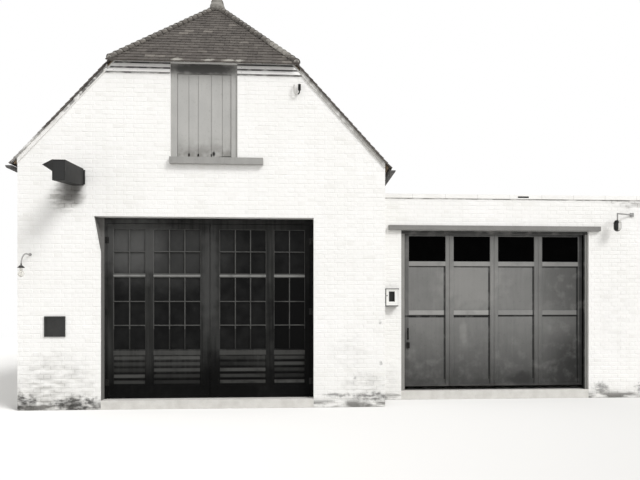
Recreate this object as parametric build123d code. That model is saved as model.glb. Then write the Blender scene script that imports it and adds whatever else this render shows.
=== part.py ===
from build123d import *
import math
import os

# Small old fire station: a whitewashed brick engine house whose gable front has a half hip of
# plain tiles, a pair of tall glazed engine doors and a boarded loft door over them, and beside
# it a lower flat-roofed wing with a wide four-leaf folding door.
# Frame: +Z up, the street front faces -Y, y = 0 is the outer face of the main front wall,
# x = 0 is the middle of that wall, and z = 0 is the lowest ground that the walls stand on.

# Main block
main_width = 6140
main_depth = 8500
wall_t = 330
main_floor_top = 150
loft_floor_top = 4240
loft_floor_t = 200

# Main roof, over the top of its tiles
ridge_z = 7575
eave_overhang = 125
eave_z = 4110
tile_t = 30
deck_t = 30
verge_overhang = 45
hip_eave_z = 5828
hip_overhang = 150
hip_setback = 1700
ridge_tile_r = 150
ridge_tile_drop = 10
ridge_tile_lead = 60
ridge_mortar_t = 40
ridge_mortar_in = 20
hip_roll_r = 75
hip_roll_drop = 25
hip_roll_in = 30

# Verge strips and the white boards under each half hip
verge_strip_h = 90
verge_strip_t = 25
board_pitch = 82
board_courses = 3
board_low_drop = 160
board_butt_t = 32
board_head_t = 14
board_gap = 6

# Gutters along the two eaves
gutter_r = 55
gutter_t = 5
gutter_bracket_w = 30
gutter_bracket_h = 8
gutter_bracket_pitch = 1050

# Engine doorway and its pair of doors
engine_x = 62
engine_width = 3560
engine_head_z = 3240
engine_recess = 200
jamb_chip_w = 110
jamb_chip_h = 600
engine_post_w = 40
engine_post_d = 100
engine_head_h = 90
engine_stop = 20
leaf_t = 50
leaf_hinge_gap = 6
leaf_meet_gap = 8
leaf_top_gap = 8
leaf_foot_gap = 20
hinge_stile_w = 110
muntin_w = 150
meet_stile_w = 165
top_rail_h = 95
mid_rail_h = 70
mid_rail_z = 2222
lock_rail_h = 105
lock_rail_z = 887
bottom_rail_h = 200
panes_outer = 2
panes_inner = 3
panes_upper_rows = 2
panes_lower_rows = 3
bar_w = 20
bar_nose = 9
bar_lip = 10
frame_splay = 8
glass_t = 4
glass_rebate = 10
glass_edge_gap = 1
glass_depth = 30
panel_boards = 5
panel_front = 12
panel_t = 20
panel_groove = 8

# Knuckle hinges of the engine doors
hinge_axis_out = 10
hinge_r = 9
hinge_pin_r = 5
hinge_pin_gap = 0.06
hinge_h = 110
hinge_joint_gap = 1
hinge_flap_t = 3
hinge_flap_w = 34
hinge_flap_clear = 11
hinge_sides = 12
hinge_heights = (430, 1640, 2860)

# Loft door
loft_x = -10
loft_width = 1118
loft_head_rise = 10
loft_post_w = 105
loft_head_h = 170
loft_post_d = 90
loft_recess = 30
loft_door_in = 21
loft_board_t = 28
loft_board_widths = (190, 156, 219, 185)
loft_board_gap = 8
loft_board_cut = 10
loft_notch_w = 22
loft_notch_h = 70
loft_short_by = 22
loft_gap = 4
loft_stop = 15
loft_sill_left = 565
loft_sill_right = 997
loft_sill_h = 112
loft_sill_out = 85

# Wing beside the main block
wing_setback = 800
wing_width = 5350
wing_rear_in = 1200
wing_wall_t = 225
wing_floor_top = 160
wing_top_z = 3730
coping_h = 75
coping_out = 22
coping_fall = 10
coping_chip_in = 2595
coping_chip_w = 210
coping_chip_h = 30
coping_chip_d = 45
coping_chip_up = 18
wing_roof_z = 3340
wing_roof_t = 150
wing_rear_overhang = 120

# Wing doorway, its frame and its folding door
wing_door_in = 404
wing_door_width = 3560
wing_head_z = 3135
wing_post_w = 70
wing_post_d = 100
wing_head_h = 62
wing_frame_recess = 45
wing_leaves = 4
wing_leaf_t = 45
wing_leaf_inset = 30
wing_leaf_gap = 5
wing_leaf_hang_gap = 0.3
wing_leaf_side_gap = 9
wing_leaf_right_gap = 30
wing_stile_w = 75
wing_glass_low_z = 2564
wing_glass_high_z = 3033
wing_rail_h = 93
wing_mid_rail_z = 1557
wing_bottom_rail_z = 270
wing_splay = 6
wing_panel_inset = 16
wing_panel_t = 12
wing_leaf_foot_gap = 75
handle_in = 58
handle_z = 1212
handle_plate_w = 30
handle_plate_h = 220
handle_plate_t = 4
handle_grip_h = 150
handle_out = 45
handle_r = 8
lock_z = 1000
lock_w = 56
lock_h = 110
lock_d = 26
drip_before = 237
drip_past = 207
drip_h = 85
drip_out = 70

# Floodlight on the left of the gable
flood_in = 977
flood_w = 195
flood_root_low = 3748
flood_root_high = 4028
flood_reach = 860
flood_end_low = 3676
flood_end_high = 3996
flood_visor_out = 150
flood_visor_t = 120
flood_visor_tip_z = 3916
flood_visor_foot_z = 3816
flood_glass_t = 12
flood_glass_edge = 18
flood_plate = 240
flood_plate_t = 14

# Swan-neck lamp near the left corner
lamp_in = 208
lamp_arm_z = 2593
lamp_reach = 360
lamp_arm_r = 11
lamp_bend_r = 200
lamp_rose_r = 24
lamp_rose_t = 16
lamp_cap_r = 60
lamp_cap_top_r = 20
lamp_cap_h = 40
lamp_neck_r = 24
lamp_neck_h = 52
lamp_bulb_r = 52

# Thin bent rods, such as the lamp's arm and the hook, have this many sides, and a straight run
# for each so many degrees of their bends
rod_sides = 8
bend_step = 15

# Insulator hook high on the right of the gable
hook_in = 285
hook_z = 5376
hook_half = 45
hook_rod_r = 11
hook_out = 60
hook_left_h = 115
hook_right_h = 25
insulator_r = 24
insulator_h = 100

# Dark plate on the left pier, and the white call box on the wing
plate_in = 607
plate_z = 1395
plate_size = 340
plate_t = 25
plate_rim = 30
plate_sink = 8
wall_box_in = 70
wall_box_w = 258
wall_box_h = 328
wall_box_z = 1889
wall_box_d = 140
wall_box_slot_w = 100
wall_box_slot_h = 180
wall_box_slot_x = 140
wall_box_slot_z = 15
wall_box_slot_d = 60
wall_box_lip = 12
wall_box_lip_h = 25

# Wall lamp on the right of the wing
wing_lamp_in = 552
wing_lamp_z = 3452
wing_lamp_left = 364
wing_lamp_out = 180
wing_lamp_arm_r = 13
wing_lamp_arm_in = 5
wing_lamp_rose = 70
wing_lamp_rose_t = 20
wing_lamp_drop = 130
wing_lamp_cap_r = 75
wing_lamp_cap_top_r = 45
wing_lamp_cap_h = 50
wing_lamp_bowl_r = 68
wing_lamp_bowl_h = 155

# Sizes worked out from the ones above
half_width = main_width / 2
eave_x = half_width + eave_overhang
roof_slope = (ridge_z - eave_z) / eave_x
slope_stretch = math.hypot(1, roof_slope)
tile_drop = tile_t * slope_stretch
roof_drop = (tile_t + deck_t) * slope_stretch
hip_slope = (ridge_z - hip_eave_z) / (hip_setback + hip_overhang)
hip_stretch = math.hypot(1, hip_slope)
hip_tile_drop = tile_t * hip_stretch
hip_drop = (tile_t + deck_t) * hip_stretch
far = 3 * main_depth

engine_left = engine_x - engine_width / 2
engine_right = engine_x + engine_width / 2
leaf_y = engine_recess
leaf_w = engine_width / 2 - engine_post_w - leaf_hinge_gap - leaf_meet_gap / 2
leaf_low = main_floor_top + leaf_foot_gap
leaf_high = engine_head_z - engine_head_h - leaf_top_gap
leaf_left = engine_left + engine_post_w + leaf_hinge_gap
hinge_x = leaf_left - leaf_hinge_gap / 2
hinge_y = leaf_y - hinge_axis_out

loft_left = loft_x - loft_width / 2
loft_right = loft_x + loft_width / 2
loft_top_z = hip_eave_z + loft_head_rise
board_low_z = hip_eave_z - board_low_drop

wing_y = wing_setback
wing_left_x = half_width
wing_right_x = wing_left_x + wing_width
wing_rear_y = main_depth - wing_rear_in
wing_door_left = wing_left_x + wing_door_in
wing_door_right = wing_door_left + wing_door_width
drip_left_x = wing_door_left - drip_before
drip_right_x = wing_door_right + drip_past

flood_x = flood_in - half_width
lamp_x = lamp_in - half_width
plate_x = plate_in - half_width
hook_top_z = hook_z + hook_left_h
hook_x = (ridge_z - roof_drop - hook_top_z) / roof_slope - hook_in
wall_box_left = wing_left_x + wall_box_in
wing_lamp_x = wing_right_x - wing_lamp_in


def block(x0, x1, y0, y1, z0, z1):
    """A plain box between two opposite corners."""
    middle = Pos((x0 + x1) / 2, (y0 + y1) / 2, (z0 + z1) / 2)
    return middle * Box(x1 - x0, y1 - y0, z1 - z0)


def prism_y(points, y0, y1):
    """An outline of (x, z) points run along Y."""
    plane = Plane(origin=(0, y0, 0), x_dir=(1, 0, 0), z_dir=(0, -1, 0))
    face = plane * make_face(Polyline(*points, close=True))
    return extrude(face, amount=y1 - y0, dir=(0, 1, 0))


def prism_x(points, x0, x1):
    """An outline of (y, z) points run along X."""
    plane = Plane(origin=(x0, 0, 0), x_dir=(0, 1, 0), z_dir=(1, 0, 0))
    face = plane * make_face(Polyline(*points, close=True))
    return extrude(face, amount=x1 - x0, dir=(1, 0, 0))


def prism_z(points, z0, z1):
    """An outline of (x, y) points run up along Z."""
    face = Pos(0, 0, z0) * make_face(Polyline(*points, close=True))
    return extrude(face, amount=z1 - z0)


def splay(x0, x1, z0, z1, y, size):
    """Cutter that bevels the front edges of a rectangular hole by size."""
    middle = Plane(origin=((x0 + x1) / 2, y, (z0 + z1) / 2), x_dir=(1, 0, 0), z_dir=(0, 1, 0))
    mouth = middle * Rectangle(x1 - x0 + 2 * size, z1 - z0 + 2 * size)
    return extrude(mouth, amount=size, taper=45)


def rod_z(x, y, z0, z1, radius):
    """An upright round rod."""
    return Pos(x, y, (z0 + z1) / 2) * Cylinder(radius, z1 - z0)


def rod_y(x, z, y0, y1, radius):
    """A round rod along Y."""
    return Pos(x, (y0 + y1) / 2, z) * Rot(90, 0, 0) * Cylinder(radius, y1 - y0)


def barrel(x, y, z0, z1):
    """The faceted outside of one hinge knuckle."""
    return Pos(x, y, z0) * extrude(RegularPolygon(hinge_r, hinge_sides), amount=z1 - z0)


def bend(across, up, radius, first, last):
    """Points of a round bend about (across, up), from the first angle to the last."""
    steps = round((last - first) / bend_step)
    turns = [math.radians(first + (last - first) * index / steps) for index in range(steps + 1)]
    return [(across + radius * math.cos(turn), up + radius * math.sin(turn)) for turn in turns]


def bent_rod(points, radius):
    """A thin rod in short straight runs that meet in mitres."""
    run = Vector(*points[1]) - Vector(*points[0])
    section = Plane(origin=points[0], z_dir=run) * RegularPolygon(radius, rod_sides)
    return sweep(section, path=Polyline(*points), transition=Transition.RIGHT)


def above_hip(drop):
    """All that lies over the two half hips' planes, each lowered by drop."""
    low_z = hip_eave_z - drop - hip_slope * (far - hip_overhang)
    high_z = low_z + hip_slope * 2 * far
    front = [(-far, low_z), (far, high_z), (-far, high_z)]
    rear = [(main_depth - y, z) for y, z in front]
    return prism_x(front, -far, far) + prism_x(rear, -far, far)


def under_roof(drop, y0, y1):
    """All that lies under the main slopes, each lowered by drop, down to the ground."""
    low_z = ridge_z - drop - roof_slope * far
    high_z = ridge_z - drop
    hull = prism_y([(-far, low_z), (0, high_z), (far, low_z)], y0, y1)
    return hull & block(-far, far, y0, y1, 0, ridge_z)


def slope_layer(top_drop, low_drop, edge_x, y0, y1):
    """One layer of the right slope, from the ridge out to edge_x."""
    edge_z = ridge_z - roof_slope * edge_x
    pts = [(0, ridge_z - top_drop), (edge_x, edge_z - top_drop)]
    pts += [(edge_x, edge_z - low_drop), (0, ridge_z - low_drop)]
    return prism_y(pts, y0, y1)


def hip_layer(top_drop, low_drop, edge_y):
    """One layer of the front half hip, from edge_y back to the ridge's end."""
    edge_z = hip_eave_z + hip_slope * (edge_y + hip_overhang)
    pts = [(edge_y, edge_z - top_drop), (hip_setback, ridge_z - top_drop)]
    pts += [(hip_setback, ridge_z - low_drop), (edge_y, edge_z - low_drop)]
    return prism_x(pts, -half_width, half_width)


def roof_nodes():
    """The tiled slopes, the half hips, and the ridge and hip tiles."""
    front_y = -verge_overhang
    rear_y = main_depth + verge_overhang
    slope = slope_layer(0, tile_drop, eave_x, front_y, rear_y)
    slope += slope_layer(tile_drop, roof_drop, half_width, 0, main_depth)
    right = slope - above_hip(hip_drop)
    hip_front = hip_layer(0, hip_tile_drop, -hip_overhang) + hip_layer(hip_tile_drop, hip_drop, 0)
    hip_front &= under_roof(0, -hip_overhang, hip_setback)
    house = under_roof(0, -far, far) - above_hip(0)
    ridge_y0 = hip_setback - ridge_tile_lead
    ridge_y1 = main_depth - ridge_y0
    tile_z = ridge_z - ridge_tile_drop
    ridge = rod_y(0, tile_z, ridge_y0, ridge_y1, ridge_tile_r)
    ridge += rod_y(0, tile_z, ridge_y0 - ridge_mortar_t, ridge_y0, ridge_tile_r - ridge_mortar_in)
    eave_point = Vector((ridge_z - hip_eave_z) / roof_slope, -hip_overhang, hip_eave_z)
    run = Vector(0, hip_setback, ridge_z) - eave_point
    length = run.length - hip_roll_in
    start = eave_point + run.normalized() * hip_roll_in
    roll = Plane(origin=start, z_dir=run) * Pos(0, 0, length / 2) * Cylinder(hip_roll_r, length)
    roll = Pos(0, 0, -hip_roll_drop) * roll
    rolls = roll + mirror(roll, about=Plane.YZ) - house - ridge
    rear = Plane.XZ.offset(-main_depth / 2)
    return {
        "roof_left": mirror(right, about=Plane.YZ),
        "roof_right": right,
        "hip_front": hip_front,
        "hip_rear": mirror(hip_front, about=rear),
        "ridge_tiles": ridge - house,
        "hip_tiles": rolls + mirror(rolls, about=rear),
    }


def wall_nodes():
    """The brick walls of the main block, under the roof's underside. The left pier has lost a
    wedge of brick beside the head of the doorway."""
    shell = under_roof(roof_drop, -far, far) - above_hip(hip_drop)
    inner_y0 = wall_t
    inner_y1 = main_depth - wall_t
    inner_x = half_width - wall_t
    gable = block(-half_width, half_width, 0, wall_t, engine_head_z, ridge_z) & shell
    doorway = block(loft_left, loft_right, -1, wall_t + 1, loft_floor_top, loft_top_z)
    rear = block(-half_width, half_width, inner_y1, main_depth, 0, ridge_z) & shell
    side = block(inner_x, half_width, inner_y0, inner_y1, 0, ridge_z) & shell
    floor = block(-inner_x, inner_x, inner_y0, inner_y1, 0, main_floor_top)
    sill = block(engine_left, engine_right, 0, inner_y0, 0, main_floor_top)
    loft_y = (inner_y0, inner_y1)
    loft_z = (loft_floor_top - loft_floor_t, loft_floor_top)
    piers = block(-half_width, engine_left, 0, wall_t, 0, engine_head_z)
    chip = [(engine_left, engine_head_z - jamb_chip_h), (engine_left, engine_head_z)]
    chip.append((engine_left - jamb_chip_w, engine_head_z))
    piers -= prism_y(chip, -1, engine_recess)
    piers += block(engine_right, half_width, 0, wall_t, 0, engine_head_z)
    return {
        "front_piers": piers,
        "front_gable": gable - doorway,
        "rear_wall": rear,
        "left_wall": mirror(side, about=Plane.YZ),
        "right_wall": side,
        "main_floor": floor + sill,
        "loft_floor": block(-inner_x, inner_x, *loft_y, *loft_z),
    }


def verge_strips():
    """Mortar strips on the gable faces, close under the tiles of the four verges."""
    high_z = hip_eave_z - hip_tile_drop
    inner_x = (ridge_z - tile_drop - high_z) / roof_slope
    low_z = ridge_z - tile_drop - roof_slope * half_width
    pts = [(inner_x, high_z), (half_width, low_z)]
    pts += [(half_width, low_z - verge_strip_h), (inner_x, high_z - verge_strip_h)]
    strip = prism_y(pts, -verge_strip_t, 0)
    pair = strip + mirror(strip, about=Plane.YZ)
    return pair + mirror(pair, about=Plane.XZ.offset(-main_depth / 2))


def board_run(x0, x1):
    """Feather-edged boards in courses on the front face, clipped under the verge strips."""
    run = None
    for course in range(board_courses):
        z0 = board_low_z + course * board_pitch
        z1 = z0 + board_pitch
        profile = [(0, z0), (-board_butt_t, z0), (-board_head_t, z1), (0, z1)]
        board = prism_x(profile, x0, x1)
        run = board if run is None else run + board
    clear = tile_drop + verge_strip_h + board_gap
    return run & under_roof(clear, -board_butt_t - 1, 1) - above_hip(hip_tile_drop + board_gap)


def weatherboards():
    """White boards each side of the loft door, and right across the rear gable."""
    left = board_run(-half_width, loft_left)
    right = board_run(loft_right, half_width)
    rear = mirror(board_run(-half_width, half_width), about=Plane.XZ.offset(-main_depth / 2))
    return left + right + rear


def gutter():
    """Half-round gutter on strap brackets along the right eave."""
    rim_z = eave_z - tile_drop
    y0 = -verge_overhang
    y1 = main_depth + verge_overhang
    trough = rod_y(eave_x, rim_z, y0, y1, gutter_r)
    trough -= rod_y(eave_x, rim_z, y0 + gutter_t, y1 - gutter_t, gutter_r - gutter_t)
    trough &= block(eave_x - gutter_r, eave_x + gutter_r, y0, y1, rim_z - gutter_r, rim_z)
    count = int((main_depth - gutter_bracket_pitch / 2) // gutter_bracket_pitch) + 1
    first_y = (main_depth - (count - 1) * gutter_bracket_pitch) / 2
    strap_x = eave_x - gutter_r + gutter_t
    for index in range(count):
        y = first_y + index * gutter_bracket_pitch
        half = gutter_bracket_w / 2
        trough += block(half_width, strap_x, y - half, y + half, rim_z - gutter_bracket_h, rim_z)
    return trough


def loft_door_nodes():
    """Loft door of uneven boards, rotted at the foot, in its posts over a long sill board."""
    y0 = loft_recess
    y1 = y0 + loft_post_d
    z0 = loft_floor_top
    z1 = loft_top_z
    frame = block(loft_left, loft_right, y0, y1, z0, z1)
    door_x0 = loft_left + loft_post_w
    door_x1 = loft_right - loft_post_w
    head_z = z1 - loft_head_h
    board_y0 = y0 + loft_door_in
    board_y1 = board_y0 + loft_board_t
    frame -= block(door_x0, door_x1, y0 - 1, board_y1, z0 - 1, head_z)
    stopped = (door_x0 + loft_stop, door_x1 - loft_stop)
    frame -= block(*stopped, y0, y1 + 1, z0 - 1, head_z - loft_stop)
    x0 = door_x0 + loft_gap
    x1 = door_x1 - loft_gap
    low = z0 + loft_board_gap
    door = block(x0, x1, board_y0, board_y1, low, head_z - loft_gap)
    half = loft_board_gap / 2
    notch = loft_notch_w / 2
    joints = [x0 + sum(loft_board_widths[:count]) for count in range(1, len(loft_board_widths) + 1)]
    for x in joints:
        door -= block(x - half, x + half, board_y0, board_y0 + loft_board_cut, low, z1)
    for x in joints[:-1]:
        door -= block(x - notch, x + notch, board_y0 - 1, board_y1 + 1, low, low + loft_notch_h)
    door -= block(joints[-2], x1, board_y0 - 1, board_y1 + 1, low, low + loft_short_by)
    sill = block(loft_x - loft_sill_left, loft_x + loft_sill_right, -loft_sill_out, 0, z0 - loft_sill_h, z0)
    return {"loft_door_frame": frame, "loft_door": door, "loft_sill": sill}


def engine_frame():
    """Posts and head of the engine doorway, with a stop behind the leaves."""
    y0 = leaf_y
    y1 = y0 + engine_post_d
    stop_y = y0 + leaf_t + leaf_hinge_gap
    z0 = main_floor_top
    z1 = engine_head_z
    frame = block(engine_left, engine_right, y0, y1, z0, z1)
    inner_x0 = engine_left + engine_post_w
    inner_x1 = engine_right - engine_post_w
    head_z = z1 - engine_head_h
    frame -= block(inner_x0, inner_x1, y0 - 1, stop_y, z0 - 1, head_z)
    reach = engine_stop
    return frame - block(inner_x0 + reach, inner_x1 - reach, stop_y - 1, y1 + 1, z0 - 1, head_z - reach)


def light_columns():
    """The two glazed columns of the left leaf: left side, right side and panes across."""
    pane_pitch = (leaf_w - hinge_stile_w - muntin_w - meet_stile_w) / (panes_outer + panes_inner)
    outer_x0 = leaf_left + hinge_stile_w
    outer_x1 = outer_x0 + panes_outer * pane_pitch
    inner_x0 = outer_x1 + muntin_w
    inner_x1 = inner_x0 + panes_inner * pane_pitch
    return [(outer_x0, outer_x1, panes_outer), (inner_x0, inner_x1, panes_inner)]


def light_rows():
    """The two glazed rows of a leaf: low side, high side and panes up."""
    lower = (lock_rail_z + lock_rail_h, mid_rail_z, panes_lower_rows)
    upper = (mid_rail_z + mid_rail_h, leaf_high - top_rail_h, panes_upper_rows)
    return [lower, upper]


def glazing_bars(x0, x1, across, z0, z1, up):
    """Thin bars that part one light into panes, in front of its glass."""
    y0 = leaf_y
    y1 = leaf_y + glass_depth
    half = bar_w / 2
    nose = bar_nose / 2
    profile = [(-half, y1), (-half, y1 - bar_lip), (-nose, y0), (nose, y0), (half, y1 - bar_lip), (half, y1)]
    bars = []
    for index in range(1, across):
        x = x0 + index * (x1 - x0) / across
        bars.append(prism_z([(x + side, y) for side, y in profile], z0 - frame_splay, z1 + frame_splay))
    for index in range(1, up):
        z = z0 + index * (z1 - z0) / up
        bars.append(prism_x([(y, z + side) for side, y in profile], x0 - frame_splay, x1 + frame_splay))
    return bars


def boarded_panel(x0, x1, z0, z1):
    """Horizontal boards with V joints that fill the foot of a leaf."""
    y0 = leaf_y + panel_front
    panel = block(x0, x1, y0, y0 + panel_t, z0, z1)
    pitch = (z1 - z0) / panel_boards
    for index in range(1, panel_boards):
        z = z0 + index * pitch
        groove = [(y0 - 1, z - panel_groove), (y0 + panel_groove, z), (y0 - 1, z + panel_groove)]
        panel -= prism_x(groove, x0, x1)
    return panel


def engine_leaf():
    """Left engine leaf: stiles, rails, bars and boards, and its sheets of glass."""
    y0 = leaf_y
    y1 = leaf_y + leaf_t
    glass_y = leaf_y + glass_depth
    leaf = block(leaf_left, leaf_left + leaf_w, y0, y1, leaf_low, leaf_high)
    bars = []
    panels = []
    sheets = []
    for x0, x1, across in light_columns():
        for z0, z1, up in light_rows():
            leaf -= block(x0, x1, y0 - 1, y1 + 1, z0, z1)
            leaf -= splay(x0, x1, z0, z1, y0, frame_splay)
            rebate = (x0 - glass_rebate, x1 + glass_rebate, glass_y, y1 + 1)
            leaf -= block(*rebate, z0 - glass_rebate, z1 + glass_rebate)
            bars += glazing_bars(x0, x1, across, z0, z1, up)
            lap = glass_rebate - glass_edge_gap
            sheet = (x0 - lap, x1 + lap, glass_y, glass_y + glass_t)
            sheets.append(block(*sheet, z0 - lap, z1 + lap))
        foot_z = leaf_low + bottom_rail_h
        leaf -= block(x0, x1, y0 - 1, y1 + 1, foot_z, lock_rail_z)
        leaf -= splay(x0, x1, foot_z, lock_rail_z, y0, frame_splay)
        panels.append(boarded_panel(x0, x1, foot_z, lock_rail_z))
    for piece in bars + panels:
        leaf += piece
    glass = sheets[0]
    for sheet in sheets[1:]:
        glass += sheet
    return leaf, glass


def knuckle_hinges():
    """Left leaf's hinges: the parts fixed to the post with their pins, and the leaf's parts."""
    fixed = None
    moving = None
    third = hinge_h / 3
    y0 = leaf_y - hinge_flap_t
    for z in hinge_heights:
        low = z - hinge_h / 2
        high = z + hinge_h / 2
        own = [(low, low + third), (high - third, high)]
        post_flap = block(hinge_x - hinge_flap_w, hinge_x - hinge_flap_clear, y0, leaf_y, low, high)
        for z0, z1 in own:
            post_flap += barrel(hinge_x, hinge_y, z0, z1)
            post_flap += block(hinge_x - hinge_flap_clear, hinge_x, y0, leaf_y, z0, z1)
        post_flap += rod_z(hinge_x, hinge_y, low, high, hinge_pin_r)
        own_z = (low + third + hinge_joint_gap, high - third - hinge_joint_gap)
        middle = barrel(hinge_x, hinge_y, *own_z)
        middle += block(hinge_x, hinge_x + hinge_flap_clear, y0, leaf_y, *own_z)
        middle -= rod_z(hinge_x, hinge_y, low, high, hinge_pin_r + hinge_pin_gap)
        middle += block(hinge_x + hinge_flap_clear, hinge_x + hinge_flap_w, y0, leaf_y, low, high)
        fixed = post_flap if fixed is None else fixed + post_flap
        moving = middle if moving is None else moving + middle
    return fixed, moving


def engine_door_nodes():
    """The pair of engine doors: the right leaf mirrors the left one."""
    middle = Plane.YZ.offset(engine_x)
    leaf, glass = engine_leaf()
    fixed, moving = knuckle_hinges()
    return {
        "engine_door_frame": engine_frame(),
        "engine_door_left": leaf,
        "engine_glass_left": glass,
        "hinge_straps_left": moving,
        "engine_door_right": mirror(leaf, about=middle),
        "engine_glass_right": mirror(glass, about=middle),
        "hinge_straps_right": mirror(moving, about=middle),
        "engine_hinges": fixed + mirror(fixed, about=middle),
    }


def wing_nodes():
    """Walls, floor, flat roof and coping of the wing. The coping's front has one deep chip."""
    y0 = wing_y
    y1 = wing_y + wing_wall_t
    inner_x = wing_right_x - wing_wall_t
    rear_in = wing_rear_y - wing_wall_t
    roof_low = wing_roof_z
    roof_high = roof_low + wing_roof_t
    floor = block(wing_left_x, inner_x, y1, rear_in, 0, wing_floor_top)
    floor += block(wing_door_left, wing_door_right, y0, y1, 0, wing_floor_top)
    coping_z = wing_top_z + coping_h
    right_x = wing_right_x + coping_out
    front = [(y0 - coping_out, wing_top_z), (y0 - coping_out, coping_z)]
    front += [(y1 + coping_out, coping_z - coping_fall), (y1 + coping_out, wing_top_z)]
    coping = prism_x(front, wing_left_x, right_x)
    chip_x = wing_left_x + coping_chip_in
    chip_z = wing_top_z + coping_chip_up
    chip_y = y0 - coping_out + coping_chip_d
    coping -= block(chip_x, chip_x + coping_chip_w, y0 - coping_out - 1, chip_y, chip_z, chip_z + coping_chip_h)
    side = [(right_x, wing_top_z), (right_x, coping_z)]
    side += [(inner_x - coping_out, coping_z - coping_fall), (inner_x - coping_out, wing_top_z)]
    coping += prism_y(side, y0, wing_rear_y)
    roof_y1 = wing_rear_y + wing_rear_overhang
    roof = block(wing_left_x, inner_x, y1, rear_in, roof_low, roof_high)
    roof += block(wing_left_x, inner_x, rear_in, roof_y1, roof_low, roof_high)
    front_wall = block(wing_left_x, wing_right_x, y0, y1, 0, wing_top_z)
    front_wall -= block(wing_door_left, wing_door_right, y0 - 1, y1 + 1, -1, wing_head_z)
    return {
        "wing_front_wall": front_wall,
        "wing_end_wall": block(inner_x, wing_right_x, y1, wing_rear_y, 0, wing_top_z),
        "wing_rear_wall": block(wing_left_x, inner_x, rear_in, wing_rear_y, 0, roof_low),
        "wing_floor": floor,
        "wing_roof": roof,
        "wing_coping": coping,
        "drip_board": block(drip_left_x, drip_right_x, y0 - drip_out, y0, wing_head_z, wing_head_z + drip_h),
    }


def wing_leaf(x0, x1):
    """One framed leaf of the folding door: a light over two sunk panels."""
    y0 = wing_y + wing_frame_recess + wing_leaf_inset
    y1 = y0 + wing_leaf_t
    low = wing_floor_top + wing_leaf_foot_gap
    high = wing_head_z - wing_head_h - wing_leaf_hang_gap
    leaf = block(x0, x1, y0, y1, low, high)
    in_x0 = x0 + wing_stile_w
    in_x1 = x1 - wing_stile_w
    leaf -= block(in_x0, in_x1, y0 - 1, y1 + 1, wing_glass_low_z, wing_glass_high_z)
    leaf -= splay(in_x0, in_x1, wing_glass_low_z, wing_glass_high_z, y0, wing_splay)
    upper = (wing_mid_rail_z + wing_rail_h, wing_glass_low_z - wing_rail_h)
    lower = (wing_bottom_rail_z, wing_mid_rail_z)
    for z0, z1 in (upper, lower):
        leaf -= block(in_x0, in_x1, y0 - 1, y0 + wing_panel_inset, z0, z1)
        leaf -= splay(in_x0, in_x1, z0, z1, y0, wing_splay)
        leaf -= block(in_x0, in_x1, y0 + wing_panel_inset + wing_panel_t, y1 + 1, z0, z1)
    glass_y = (y0 + y1 - glass_t) / 2
    glass = block(in_x0, in_x1, glass_y, glass_y + glass_t, wing_glass_low_z, wing_glass_high_z)
    return leaf, glass


def wing_door_nodes():
    """Frame of the wing doorway, the four leaves, their glass and the pull handle."""
    y0 = wing_y + wing_frame_recess
    y1 = y0 + wing_post_d
    z0 = wing_floor_top
    frame = block(wing_door_left, wing_door_right, y0, y1, z0, wing_head_z)
    in_x0 = wing_door_left + wing_post_w
    in_x1 = wing_door_right - wing_post_w
    frame -= block(in_x0, in_x1, y0 - 1, y1 + 1, z0 - 1, wing_head_z - wing_head_h)
    run_x0 = in_x0 + wing_leaf_side_gap
    run_x1 = in_x1 - wing_leaf_right_gap
    pitch = (run_x1 - run_x0 + wing_leaf_gap) / wing_leaves
    leaves = None
    glass = None
    for index in range(wing_leaves):
        x0 = run_x0 + index * pitch
        leaf, sheet = wing_leaf(x0, x0 + pitch - wing_leaf_gap)
        leaves = leaf if leaves is None else leaves + leaf
        glass = sheet if glass is None else glass + sheet
    return {
        "wing_door_frame": frame,
        "wing_door_leaves": leaves,
        "wing_door_glass": glass,
        "wing_door_handle": wing_handle(run_x0 + handle_in),
    }


def wing_handle(x):
    """Bow handle on its back plate, with a box lock under it, on the first leaf."""
    face_y = wing_y + wing_frame_recess + wing_leaf_inset
    half_w = handle_plate_w / 2
    half_h = handle_plate_h / 2
    plate_y = face_y - handle_plate_t
    handle = block(x - half_w, x + half_w, plate_y, face_y, handle_z - half_h, handle_z + half_h)
    grip_y = face_y - handle_out
    handle += rod_z(x, grip_y, handle_z - handle_grip_h / 2, handle_z + handle_grip_h / 2, handle_r)
    for side in (-1, 1):
        foot_z = handle_z + side * (handle_grip_h / 2 - handle_r)
        handle += rod_y(x, foot_z, grip_y, plate_y, handle_r)
    lock = (x - lock_w / 2, x + lock_w / 2, face_y - lock_d, face_y)
    return handle + block(*lock, lock_z - lock_h / 2, lock_z + lock_h / 2)


def swan_neck_lamp():
    """Bent tube from a wall rose, a small cap and a bare bulb under it."""
    end_z = lamp_arm_z - lamp_bend_r
    route = [(-lamp_rose_t, lamp_arm_z)]
    route += bend(lamp_bend_r - lamp_reach, end_z, lamp_bend_r, 90, 180)
    arm = bent_rod([(lamp_x, y, z) for y, z in route], lamp_arm_r)
    rose = rod_y(lamp_x, lamp_arm_z, -lamp_rose_t, 0, lamp_rose_r)
    cap = Pos(lamp_x, -lamp_reach, end_z - lamp_cap_h / 2) * Cone(lamp_cap_r, lamp_cap_top_r, lamp_cap_h)
    neck_z = end_z - lamp_cap_h
    bulb_z = neck_z - lamp_neck_h - math.sqrt(lamp_bulb_r**2 - lamp_neck_r**2)
    bulb = Pos(lamp_x, -lamp_reach, bulb_z) * Sphere(lamp_bulb_r)
    bulb += rod_z(lamp_x, -lamp_reach, bulb_z, neck_z, lamp_neck_r)
    return rose + arm + cap, bulb


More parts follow.
